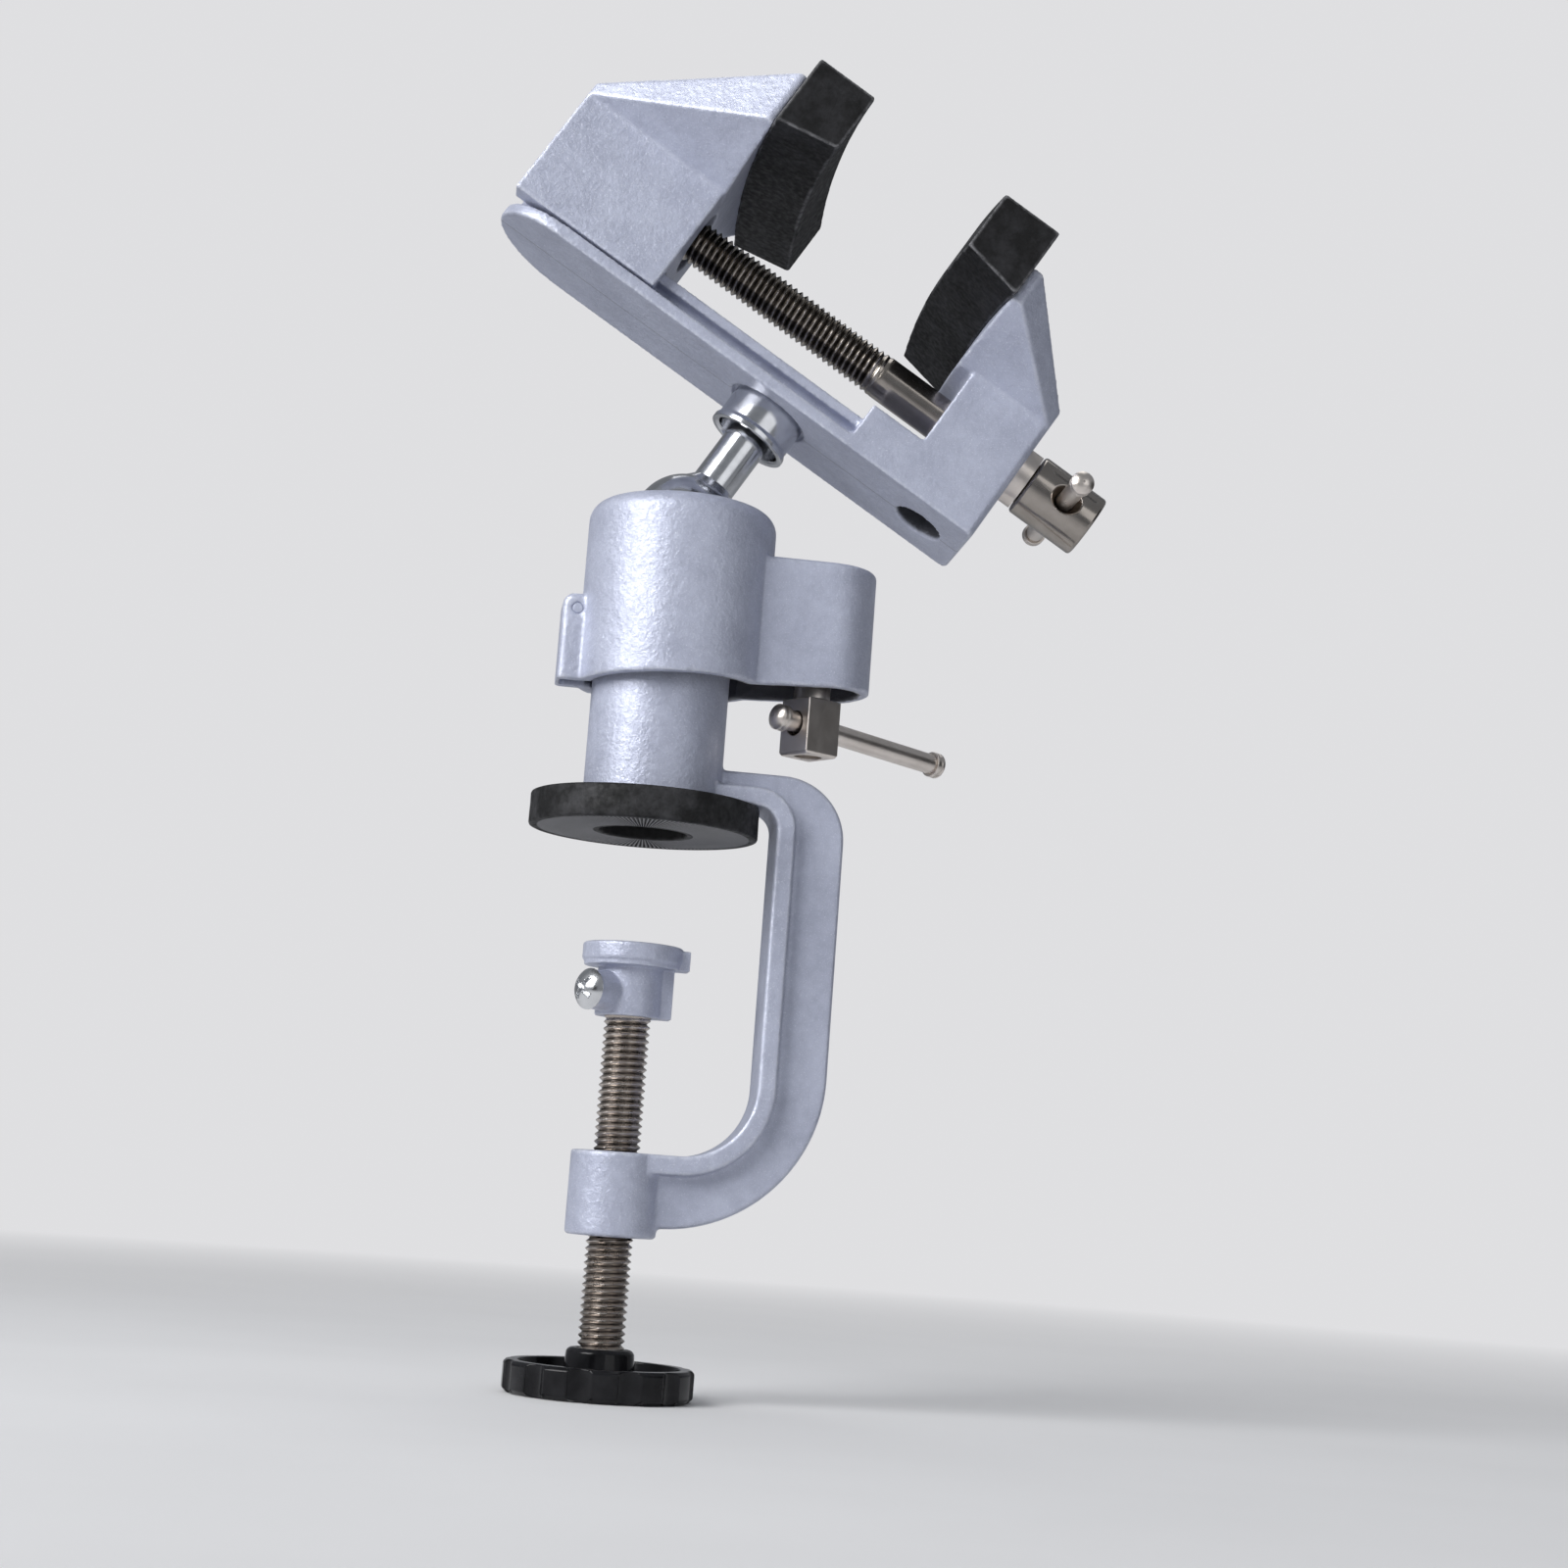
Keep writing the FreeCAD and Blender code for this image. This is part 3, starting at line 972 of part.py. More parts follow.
# ================================================================ lead screw group
def make_lead_screw():
    """Threaded rod with a plain journal, a retaining groove and a cross-drilled head."""
    rod = threaded_rod(LEAD_RADIUS, LEAD_PITCH, LEAD_THREAD_END_U - LEAD_LEFT_U)
    journal = upright(LEAD_RADIUS, LEAD_THREAD_END_U - LEAD_LEFT_U,
                      LEAD_HEAD_START_U - LEAD_LEFT_U)
    head = upright(LEAD_HEAD_RADIUS, LEAD_HEAD_START_U - LEAD_LEFT_U,
                   LEAD_HEAD_END_U - LEAD_LEFT_U)
    head = head.makeFillet(LEAD_HEAD_ROUND, head.Edges[:1] + head.Edges[-1:])
    groove_centre = ACCESS_HOLE_U - LEAD_LEFT_U
    groove_range = (groove_centre - SCREW_GROOVE_WIDTH / 2, groove_centre + SCREW_GROOVE_WIDTH / 2)
    groove = upright(LEAD_RADIUS + PAST, *groove_range).cut(
        upright(LEAD_RADIUS - SCREW_GROOVE_DEPTH, *groove_range))
    screw = rod.fuse([journal, head]).cut(groove).removeSplitter()
    screw = point_along(screw, Vector(LEAD_LEFT_U, 0, LEAD_W), X_AXIS)
    cross = cylinder(LEAD_BAR_RADIUS + RUNNING, Vector(LEAD_BAR_U, -LEAD_HEAD_RADIUS - PAST, LEAD_W),
                     2 * (LEAD_HEAD_RADIUS + PAST), Y_AXIS)
    for side in (-1, 1):
        surface = Vector(LEAD_BAR_U, side * LEAD_HEAD_RADIUS, LEAD_W)
        mouth = Part.makeCone(LEAD_HOLE_MOUTH, LEAD_BAR_RADIUS + RUNNING, LEAD_HOLE_MOUTH_DEPTH,
                              surface, Y_AXIS * -side)
        cross = cross.fuse(mouth)
    return lean(screw.cut(cross))


def make_thrust_washer():
    """Plain ring between the screw's head and the fixed jaw."""
    start = Vector(BASE_RIGHT_U, 0, LEAD_W)
    ring = cylinder(WASHER_RADIUS, start, WASHER_LENGTH, X_AXIS)
    return lean(ring.cut(cylinder(LEAD_RADIUS + RUNNING, start - X_AXIS * PAST,
                                  WASHER_LENGTH + 2 * PAST, X_AXIS)))


def make_retainer_screw():
    """Headless screw up the access hole whose tip runs in the lead screw's groove."""
    tip_w = LEAD_W - LEAD_RADIUS + SCREW_GROOVE_DEPTH - LOOSE
    body_top = LEAD_W - LEAD_RADIUS - RUNNING - RETAINER_GAP
    body = upright(RETAINER_RADIUS, body_top - RETAINER_LENGTH, body_top, ACCESS_HOLE_U)
    tip = upright(RETAINER_TIP_RADIUS, body_top, tip_w, ACCESS_HOLE_U)
    slot_top = body_top - RETAINER_LENGTH + RETAINER_SLOT_DEPTH
    slot = block((ACCESS_HOLE_U - RETAINER_RADIUS, ACCESS_HOLE_U + RETAINER_RADIUS),
                 (-RETAINER_SLOT_WIDTH / 2, RETAINER_SLOT_WIDTH / 2),
                 (slot_top - RETAINER_LENGTH, slot_top))
    return lean(body.fuse(tip).cut(slot))


# ================================================================ the whole part
def all_nodes():
    """Every separate piece, by node name."""
    lock_bar, lock_caps = sliding_bar(Vector(LOCK_X, 0, LOCK_BAR_Z), drooping_ray(),
                                      LOCK_BAR_REACH, LOCK_BAR_STUB, LOCK_BAR_RADIUS,
                                      LOCK_CAP_RADIUS)
    lead_bar, lead_caps = sliding_bar(Vector(LEAD_BAR_U, 0, LEAD_W), Y_AXIS, LEAD_BAR_REACH,
                                      LEAD_BAR_STUB, LEAD_BAR_RADIUS, LEAD_CAP_RADIUS)
    return {
        "clamp_frame": make_clamp_frame(),
        "bench_pad": make_bench_pad(),
        "ball_seat": make_ball_seat(),
        "seat_screw": make_seat_screw(),
        "pressure_pad": make_pressure_pad(),
        "pressure_pad_screw": make_pressure_pad_screw(),
        "clamp_screw": make_clamp_screw(),
        "hand_knob": make_hand_knob(),
        "knob_insert": make_knob_insert(),
        "socket_casing": make_socket_casing(),
        "pivot_pin": make_pivot_pin(),
        "lock_nut_plate": make_nut_plate(),
        "rocker_lever": make_rocker(),
        "thrust_button": make_thrust_button(),
        "lock_screw": make_lock_screw(),
        "lock_bar": lock_bar,
        "lock_bar_caps": lock_caps,
        "ball_stud": make_ball_stud(),
        "stem_collar": make_stem_collar(),
        "vise_base": make_vise_base(),
        "jaw_pad_fixed": make_grip(FIXED_FRONT_U, -1),
        "retainer_screw": make_retainer_screw(),
        "thrust_washer": make_thrust_washer(),
        "moving_jaw": make_moving_jaw(),
        "jaw_nut": make_jaw_nut(),
        "jaw_pad_moving": make_grip(MOVING_FRONT_U, 1),
        "lead_screw": make_lead_screw(),
        "lead_screw_bar": lean(lead_bar),
        "lead_bar_caps": lean(lead_caps),
    }


def main():
    """Write one STEP file per node."""
    os.makedirs("parts", exist_ok=True)
    for name, shape in all_nodes().items():
        shape.exportStep("parts/" + name + ".step")
        print(name, len(shape.Solids), round(shape.Volume, 1), shape.isValid())


if __name__ == "__main__":
    main()
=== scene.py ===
import logging
import math
from dataclasses import dataclass, field
from enum import Enum
from typing import Callable

import bmesh
import bpy
import numpy as np
from mathutils import Matrix, Vector


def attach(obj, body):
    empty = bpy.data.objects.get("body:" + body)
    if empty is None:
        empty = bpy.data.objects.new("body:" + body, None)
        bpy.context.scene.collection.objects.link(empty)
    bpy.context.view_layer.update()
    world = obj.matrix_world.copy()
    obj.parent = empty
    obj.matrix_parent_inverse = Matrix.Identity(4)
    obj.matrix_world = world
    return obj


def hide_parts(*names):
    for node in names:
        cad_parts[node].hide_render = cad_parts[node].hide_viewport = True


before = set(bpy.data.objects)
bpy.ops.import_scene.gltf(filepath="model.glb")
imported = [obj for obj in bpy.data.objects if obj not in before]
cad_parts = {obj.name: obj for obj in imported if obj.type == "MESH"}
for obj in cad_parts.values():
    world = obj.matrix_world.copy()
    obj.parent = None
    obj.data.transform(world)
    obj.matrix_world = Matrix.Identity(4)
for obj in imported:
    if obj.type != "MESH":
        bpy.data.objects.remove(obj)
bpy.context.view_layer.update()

LOG = logging.getLogger("ball_vise")
MM = 0.001
Colour = Place = tuple[float, float, float]
Socket = bpy.types.NodeSocket
HEAD_TILT = math.radians(31.0)
STEM_LENGTH = 32.3 * MM
BALL_CENTRE = Vector((3.3, 0.0, 69.2)) * MM
WELD = 0.002 * MM
FLAT = math.radians(0.05)
SHARP_EDGE = math.radians(28.0)      # an edge that turns by more is sharp
THREAD_SHARP = math.radians(55.0)    # the same for a thread
BEND_ROUNDS = 2
SMALL_EDGE = 0.15 * MM
SMALL_SEGMENTS = 2


class Body(Enum):
    """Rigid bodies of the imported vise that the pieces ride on."""

    FRAME = "frame"
    PRESS_PAD = "press_pad"
    CLAMP_SCREW = "clamp_screw"
    CASING = "casing"
    LOCK_SCREW = "lock_screw"
    LOCK_BAR = "lock_bar"
    HEAD = "head"
    JAW = "jaw"
    LEAD_SCREW = "lead_screw"
    LEAD_BAR = "lead_bar"


# ---------------------------------------------------------------- places and grids
def head_point(u: float, v: float, w: float) -> Vector:
    """Place in the part's frame of a point given in the leaning head's own frame.

    Args:
        u: distance along the lead screw, in metres.
        v: distance to the back, in metres.
        w: height above the underside of the base, in metres.

    Returns:
        The ball's centre, plus u along the leaned X axis, v along Y, and w plus the stem's
        length along the leaned Z axis.
    """
    along = Vector((math.cos(HEAD_TILT), 0.0, -math.sin(HEAD_TILT)))
    upward = Vector((math.sin(HEAD_TILT), 0.0, math.cos(HEAD_TILT)))
    return BALL_CENTRE + along * u + Vector((0.0, v, 0.0)) + upward * (STEM_LENGTH + w)


def leaned(points: np.ndarray) -> np.ndarray:
    """Carries an (n, 3) array of head-frame points into the part's frame, as head_point does."""
    along = np.array([math.cos(HEAD_TILT), 0.0, -math.sin(HEAD_TILT)])
    upward = np.array([math.sin(HEAD_TILT), 0.0, math.cos(HEAD_TILT)])
    across = np.array([0.0, 1.0, 0.0])
    base = np.array(BALL_CENTRE)
    return (base + points[:, :1] * along + points[:, 1:2] * across
            + (points[:, 2:] + STEM_LENGTH) * upward)


def ring_faces(rows: int, columns: int) -> np.ndarray:
    """Quads of a grid whose columns close into a ring.

    Args:
        rows: number of rings.
        columns: number of points round each ring.

    Returns:
        An (n, 4) array of vertex numbers: each quad joins a point, its neighbour round the
        ring, and the same two on the next ring.
    """
    row, column = np.meshgrid(np.arange(rows - 1), np.arange(columns), indexing="ij")
    following = (column + 1) % columns
    quads = np.stack([row * columns + column, row * columns + following,
                      (row + 1) * columns + following, (row + 1) * columns + column], axis=-1)
    return quads.reshape(-1, 4)


def linked(name: str, data: bpy.types.ID) -> bpy.types.Object:
    """Makes an object of a mesh, lamp or camera and links it to the scene."""
    thing = bpy.data.objects.new(name, data)
    bpy.context.scene.collection.objects.link(thing)
    return thing


def mesh_object(name: str, points: np.ndarray,
                faces: list[list[int]] | np.ndarray) -> bpy.types.Object:
    """Makes a smooth-shaded mesh object at the origin from arrays of points and faces.

    Args:
        name: the piece's name.
        points: (n, 3) places in metres.
        faces: vertex numbers of each face.

    Returns:
        The new object, linked to the scene.
    """
    mesh = bpy.data.meshes.new(name)
    mesh.from_pydata(points.tolist(), [], [list(map(int, face)) for face in faces])
    mesh.polygons.foreach_set("use_smooth", np.ones(len(mesh.polygons), dtype=bool))
    mesh.update()
    return linked(name, mesh)


def add_point_value(piece: bpy.types.Object, name: str, values: np.ndarray) -> None:
    """Stores one number per vertex as a named attribute that a finish can read."""
    attribute = piece.data.attributes.new(name, "FLOAT", "POINT")
    attribute.data.foreach_set("value", values.astype(np.float32))


def welded_copy(node: str, name: str) -> bpy.types.Object:
    """Copies a CAD node's mesh, welds its loose triangles and marks its sharp edges.

    Args:
        node: the CAD node to copy.
        name: the new piece's name.

    Returns:
        The smooth-shaded copy with its place in its mesh.
    """
    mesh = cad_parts[node].data.copy()
    mesh.name = name
    mesh.materials.clear()
    shape = bmesh.new()
    shape.from_mesh(mesh)
    bmesh.ops.remove_doubles(shape, verts=shape.verts, dist=WELD)
    bmesh.ops.dissolve_limit(shape, angle_limit=FLAT, verts=shape.verts, edges=shape.edges)
    for face in shape.faces:
        face.smooth = True
    for edge in shape.edges:
        edge.smooth = edge.is_manifold and edge.calc_face_angle(0.0) < SHARP_EDGE
    shape.to_mesh(mesh)
    shape.free()
    return linked(name, mesh)


def softened_copy(node: str, name: str, width: float, segments: int = 3) -> bpy.types.Object:
    """Copies a CAD node and rounds its sharp edges.

    Args:
        node: the CAD node to copy.
        name: the new piece's name.
        width: width of the rounded edges in metres.
        segments: faces across each rounded edge.

    Returns:
        The piece with a live Bevel modifier.
    """
    piece = welded_copy(node, name)
    bevel = piece.modifiers.new("rounded edges", "BEVEL")
    bevel.width = width
    bevel.segments = segments
    bevel.limit_method = "ANGLE"
    bevel.angle_limit = SHARP_EDGE
    bevel.use_clamp_overlap = False
    bevel.harden_normals = True
    return piece


def surface_bend(mesh: bpy.types.Mesh, size: float, spread: int) -> np.ndarray:
    """How sharply a skin of even faces turns at each vertex.

    The bend is the vertex's height over the mean of its neighbours along its normal, over the
    faces' size: above 0 on an outer edge, below 0 in a corner. It is then averaged with the
    neighbours' bend a few times, which widens it to a band.

    Args:
        mesh: the skin.
        size: length of its faces' sides in metres.
        spread: rounds of averaging.

    Returns:
        One number per vertex.
    """
    count = len(mesh.vertices)
    places = np.empty(count * 3, dtype=np.float32)
    mesh.vertices.foreach_get("co", places)
    normals = np.empty(count * 3, dtype=np.float32)
    mesh.vertex_normals.foreach_get("vector", normals)
    ends = np.empty(len(mesh.edges) * 2, dtype=np.int32)
    mesh.edges.foreach_get("vertices", ends)
    places, normals, ends = places.reshape(-1, 3), normals.reshape(-1, 3), ends.reshape(-1, 2)
    both = np.concatenate([ends, ends[:, ::-1]])
    degree = np.maximum(np.bincount(both[:, 0], minlength=count), 1)
    mean = np.stack([np.bincount(both[:, 0], places[both[:, 1], axis], count)
                     for axis in range(3)], axis=-1) / degree[:, None]
    bend = ((places - mean) * normals).sum(axis=-1) / size
    for _ in range(spread):
        bend = 0.5 * bend + 0.5 * np.bincount(both[:, 0], bend[both[:, 1]], count) / degree
    return bend


def moulded_copy(node: str, name: str, voxel: float, relax: int = 2,
                 hidden: Callable[[np.ndarray], np.ndarray] | None = None) -> bpy.types.Object:
    """Copies a CAD node as an even skin of small faces with soft edges and corners.

    The skin stores its bend, and its painted shade: up to 1 in the hollows that hidden points out.

    Args:
        node: the CAD node to copy.
        name: the new piece's name.
        voxel: size of the skin's faces in metres.
        relax: rounds of smoothing, which soften the edges.
        hidden: tells from the places, an (n, 3) array, how unlit each one lies, 0 to 1.

    Returns:
        The finished piece, kept inside the CAD node's own box.
    """
    rough = welded_copy(node, name + "_rough")
    corners = np.array(rough.bound_box)
    skin = rough.modifiers.new("skin", "REMESH")
    skin.mode = "VOXEL"
    skin.voxel_size = voxel
    ease = rough.modifiers.new("ease", "SMOOTH")
    ease.factor = 0.5
    ease.iterations = relax
    state = bpy.context.evaluated_depsgraph_get()
    mesh = bpy.data.meshes.new_from_object(rough.evaluated_get(state))
    mesh.name = name
    bpy.data.objects.remove(rough)
    places = np.empty(len(mesh.vertices) * 3, dtype=np.float32)
    mesh.vertices.foreach_get("co", places)
    places = np.clip(places.reshape(-1, 3), corners.min(axis=0), corners.max(axis=0))
    mesh.vertices.foreach_set("co", places.reshape(-1).astype(np.float32))
    mesh.polygons.foreach_set("use_smooth", np.ones(len(mesh.polygons), dtype=bool))
    mesh.update()
    piece = linked(name, mesh)
    add_point_value(piece, "bend", surface_bend(mesh, voxel, BEND_ROUNDS))
    # Painted shade: how dark each vertex is painted, from hidden.
    unlit = np.zeros(len(places)) if hidden is None else hidden(places)
    add_point_value(piece, "shade", unlit)
    return piece


def place(piece: bpy.types.Object, finish: bpy.types.Material, body: Body, slot: str,
          *nodes: str) -> None:
    """Gives a piece its finish and body, and hides the nodes it stands for.

    Args:
        piece: the piece.
        finish: the material of all its faces.
        body: the rigid body it rides on.
        slot: not used.
        nodes: CAD nodes that it replaces.
    """
    piece.data.materials.append(finish)
    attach(piece, body.value)
    if nodes:
        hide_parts(*nodes)
    LOG.info("%s rides on %s, %d faces", piece.name, body.value, len(piece.data.polygons))


def dress(node: str, finish: bpy.types.Material) -> None:
    """Gives a CAD node that keeps its own mesh its finish."""
    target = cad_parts[node].data
    target.materials.clear()
    target.materials.append(finish)
    LOG.info("%s keeps its packed shape, finish %s", node, finish.name)


# ---------------------------------------------------------------- finishes
class Shader:
    """Lays out the nodes of one finish around a Principled shader."""

    def __init__(self, name: str) -> None:
        """Starts a material with only a Principled shader and its output."""
        self.material = bpy.data.materials.new(name)
        self.material.use_nodes = True
        self.tree = self.material.node_tree
        self.tree.nodes.clear()
        self.surface = self.tree.nodes.new("ShaderNodeBsdfPrincipled")
        self.output = self.tree.nodes.new("ShaderNodeOutputMaterial")
        self.tree.links.new(self.surface.outputs[0], self.output.inputs[0])
        self.place = self.tree.nodes.new("ShaderNodeTexCoord").outputs["Object"]

    def set(self, **values: float | tuple[float, ...]) -> None:
        """Sets Principled sockets by name, with underscores for spaces."""
        for name, value in values.items():
            self.surface.inputs[name.replace("_", " ")].default_value = value

    def join(self, source: Socket, target: Socket) -> None:
        """Links an output to an input."""
        self.tree.links.new(source, target)

    def noise(self, scale: float, detail: float = 3.0, roughness: float = 0.55) -> Socket:
        """Noise over Object coordinates.

        Args:
            scale: features per metre.
            detail: octaves.
            roughness: weight of the finer octaves.

        Returns:
            The noise's factor, about 0.5 on average.
        """
        node = self.tree.nodes.new("ShaderNodeTexNoise")
        node.inputs["Scale"].default_value = scale
        node.inputs["Detail"].default_value = detail
        node.inputs["Roughness"].default_value = roughness
        self.join(self.place, node.inputs["Vector"])
        return node.outputs["Fac"]

    def spread(self, source: Socket, low: float, high: float,
               start: float = 0.35, end: float = 0.65) -> Socket:
        """Maps start..end of a value on to low..high, held at both ends."""
        node = self.tree.nodes.new("ShaderNodeMapRange")
        node.inputs["From Min"].default_value = start
        node.inputs["From Max"].default_value = end
        node.inputs["To Min"].default_value = low
        node.inputs["To Max"].default_value = high
        self.join(source, node.inputs["Value"])
        return node.outputs["Result"]

    def blend(self, share: Socket, first: Colour | Socket, second: Colour | Socket) -> Socket:
        """Colour that goes from first to second as the share goes from 0 to 1."""
        node = self.tree.nodes.new("ShaderNodeMix")
        node.data_type = "RGBA"
        self.join(share, node.inputs["Factor"])
        for socket, value in ((node.inputs[6], first), (node.inputs[7], second)):
            if isinstance(value, tuple):
                socket.default_value = (*value, 1.0)
            else:
                self.join(value, socket)
        return node.outputs[2]

    def math(self, operation: str, first: Socket | float, second: Socket | float = 0.0) -> Socket:
        """One step of arithmetic on two values."""
        node = self.tree.nodes.new("ShaderNodeMath")
        node.operation = operation
        for socket, value in ((node.inputs[0], first), (node.inputs[1], second)):
            if isinstance(value, float):
                socket.default_value = value
            else:
                self.join(value, socket)
        return node.outputs[0]

    def height(self, source: Socket, depth: float, under: Socket | None = None) -> Socket:
        """Bump of a given depth in metres, on top of another bump's normal if one is given."""
        node = self.tree.nodes.new("ShaderNodeBump")
        node.inputs["Strength"].default_value = 1.0
        node.inputs["Distance"].default_value = depth
        self.join(source, node.inputs["Height"])
        if under is not None:
            self.join(under, node.inputs["Normal"])
        return node.outputs["Normal"]

    def value_of(self, name: str) -> Socket:
        """The number a piece stores per vertex under a name."""
        node = self.tree.nodes.new("ShaderNodeAttribute")
        node.attribute_name = name
        return node.outputs["Fac"]

    def axes(self) -> bpy.types.Node:
        """Object coordinates split into X, Y and Z."""
        node = self.tree.nodes.new("ShaderNodeSeparateXYZ")
        self.join(self.place, node.inputs[0])
        return node


@dataclass(frozen=True)
class SilverPaint:
    """Satin silver paint with a lavender cast over fine sand-cast grain."""

    name: str = "silver_paint"
    shade: Colour = (0.40, 0.425, 0.535)
    light: Colour = (0.50, 0.53, 0.65)
    fleck: Colour = (0.80, 0.82, 0.90)
    # edge colour: worn paint and a painted highlight on rounded edges
    wear_and_edge_highlight: Colour = (0.78, 0.80, 0.88)
    # dark colour of the parting line, and of the painted shade in hollows
    seam_and_painted_shade: Colour = (0.035, 0.035, 0.04)
    metallic: float = 0.3
    grain_depth: float = 0.08 * MM
    parting: bool = False
    parting_half: float = 0.16 * MM
    parting_top: float = 1.5 * MM

    def parting_line(self, shader: Shader) -> Socket:
        """Thin line where the casting's two halves met, along the middle of the underside.

        A point lies on it where |y| is under the line's half width and its height w over the
        underside, (x - ball x) sin tilt + (z - ball z) cos tilt - stem length, is under the top.
        """
        place_at = shader.axes()
        near = shader.math("LESS_THAN", shader.math("ABSOLUTE", place_at.outputs["Y"]),
                           self.parting_half)
        across = shader.math("MULTIPLY", place_at.outputs["X"], math.sin(HEAD_TILT))
        upward = shader.math("MULTIPLY", place_at.outputs["Z"], math.cos(HEAD_TILT))
        start = (BALL_CENTRE.x * math.sin(HEAD_TILT) + BALL_CENTRE.z * math.cos(HEAD_TILT)
                 + STEM_LENGTH + self.parting_top)
        low = shader.math("LESS_THAN", shader.math("ADD", across, upward), start)
        return shader.math("MULTIPLY", near, low)

    def make(self) -> bpy.types.Material:
        """Mottles two tones, adds metal flecks, lightens edges for wear and as a painted
        highlight, darkens the parting line, paints shade into hollows and roughens with grain.
        """
        shader = Shader(self.name)
        tone = shader.blend(shader.spread(shader.noise(70.0, 7.0, 0.8), 0.0, 1.0, 0.38, 0.62),
                            self.shade, self.light)
        flecks = shader.spread(shader.noise(3000.0, 2.0, 0.6), 0.0, 0.5, 0.58, 0.72)
        tone = shader.blend(flecks, tone, self.fleck)
        dark_flecks = shader.spread(shader.noise(1300.0, 2.0, 0.6), 0.0, 0.3, 0.6, 0.74)
        tone = shader.blend(dark_flecks, tone, self.shade)
        # Outer edges lighten by the bend: worn paint and a painted edge highlight.
        broken = shader.spread(shader.noise(500.0, 4.0, 0.7), 0.15, 0.8, 0.4, 0.62)
        turned = shader.spread(shader.value_of("bend"), 0.0, 1.0, 0.04, 0.16)
        edges = shader.math("MULTIPLY", turned, broken)
        tone = shader.blend(edges, tone, self.wear_and_edge_highlight)
        if self.parting:
            tone = shader.blend(shader.math("MULTIPLY", self.parting_line(shader), 0.55), tone,
                                self.seam_and_painted_shade)
        # Painted shade: the stored shade darkens hollows towards the dark colour.
        unlit = shader.math("MULTIPLY", shader.value_of("shade"), 0.9)
        tone = shader.blend(unlit, tone, self.seam_and_painted_shade)
        shader.join(tone, shader.surface.inputs["Base Color"])
        shader.join(shader.spread(shader.noise(900.0, 3.0), 0.34, 0.52),
                    shader.surface.inputs["Roughness"])
        coarse = shader.height(shader.noise(750.0, 3.0), self.grain_depth * 2.2)
        fine = shader.height(shader.noise(1700.0, 3.0, 0.7), self.grain_depth, coarse)
        shader.join(fine, shader.surface.inputs["Normal"])
        shader.set(Metallic=self.metallic, Coat_Weight=0.1, Coat_Roughness=0.3)
        return shader.material


@dataclass(frozen=True)
class Chrome:
    """Polished chrome plate with a faint, patchy haze."""

    name: str = "ball_chrome"
    colour: Colour = (0.72, 0.73, 0.76)
    dull: Colour = (0.56, 0.57, 0.60)

    def make(self) -> bpy.types.Material:
        """Bright metal whose haze comes and goes in patches."""
        shader = Shader(self.name)
        shader.join(shader.blend(shader.spread(shader.noise(160.0, 4.0), 0.0, 1.0), self.colour,
                                 self.dull), shader.surface.inputs["Base Color"])
        shader.join(shader.spread(shader.noise(450.0, 2.0), 0.13, 0.22, 0.2, 0.8),
                    shader.surface.inputs["Roughness"])
        shader.join(shader.height(shader.noise(2600.0, 2.0), 0.0015 * MM),
                    shader.surface.inputs["Normal"])
        shader.set(Metallic=1.0)
        return shader.material


@dataclass(frozen=True)
class WarmNickel:
    """Nickel plate with a warm tint, in two tones."""

    name: str = "warm_nickel"
    colour: Colour = (0.82, 0.76, 0.71)
    dark: Colour = (0.66, 0.60, 0.55)
    roughness: tuple[float, float] = (0.27, 0.35)

    def make(self) -> bpy.types.Material:
        """Two metal tones in patches with small pits."""
        shader = Shader(self.name)
        shader.join(shader.blend(shader.spread(shader.noise(180.0, 5.0), 0.0, 0.6), self.colour,
                                 self.dark), shader.surface.inputs["Base Color"])
        shader.join(shader.spread(shader.noise(320.0, 2.0), *self.roughness, 0.2, 0.8),
                    shader.surface.inputs["Roughness"])
        shader.join(shader.height(shader.noise(1500.0, 3.0), 0.003 * MM),
                    shader.surface.inputs["Normal"])
        shader.set(Metallic=1.0)
        return shader.material


@dataclass(frozen=True)
class ThreadSteel:
    """Bronze-tinted nickel on rolled threads: bright crests and painted shade in the roots."""

    name: str = "thread_steel"
    bright: Colour = (0.55, 0.50, 0.46)
    tarnish: Colour = (0.40, 0.355, 0.32)
    # painted shade at the thread's roots
    root: Colour = (0.06, 0.052, 0.047)
    polish: tuple[float, float] = (0.22, 0.36)
    root_start: float = 0.62

    def make(self) -> bpy.types.Material:
        """Two metal tones in patches, with painted shade towards the roots by the stored depth."""
        shader = Shader(self.name)
        metal = shader.blend(shader.spread(shader.noise(220.0, 5.0), 0.0, 0.8), self.bright,
                             self.tarnish)
        # Painted shade: darker towards the thread's roots by the stored depth.
        depth = shader.value_of("thread_depth")
        shader.join(shader.blend(shader.spread(depth, 0.0, 1.0, self.root_start, 1.0), metal,
                                 self.root),
                    shader.surface.inputs["Base Color"])
        shader.join(shader.spread(shader.noise(320.0, 2.0), *self.polish, 0.2, 0.8),
                    shader.surface.inputs["Roughness"])
        shader.join(shader.height(shader.noise(1800.0, 3.0), 0.002 * MM),
                    shader.surface.inputs["Normal"])
        shader.set(Metallic=1.0)
        return shader.material


@dataclass(frozen=True)
class PlainSteel:
    """Plain greased steel of the pieces inside."""

    name: str = "plain_steel"
    colour: Colour = (0.40, 0.40, 0.41)
    dark: Colour = (0.17, 0.165, 0.16)
    roughness: tuple[float, float] = (0.25, 0.5)

    def make(self) -> bpy.types.Material:
        """Mottled metal with smears of grease."""
        shader = Shader(self.name)
        shader.join(shader.blend(shader.spread(shader.noise(220.0, 5.0), 0.0, 1.0), self.colour,
                                 self.dark), shader.surface.inputs["Base Color"])
        shader.join(shader.spread(shader.noise(600.0, 4.0), *self.roughness),
                    shader.surface.inputs["Roughness"])
        shader.join(shader.height(shader.noise(1800.0, 3.0), 0.006 * MM),
                    shader.surface.inputs["Normal"])
        shader.set(Metallic=1.0)
        return shader.material


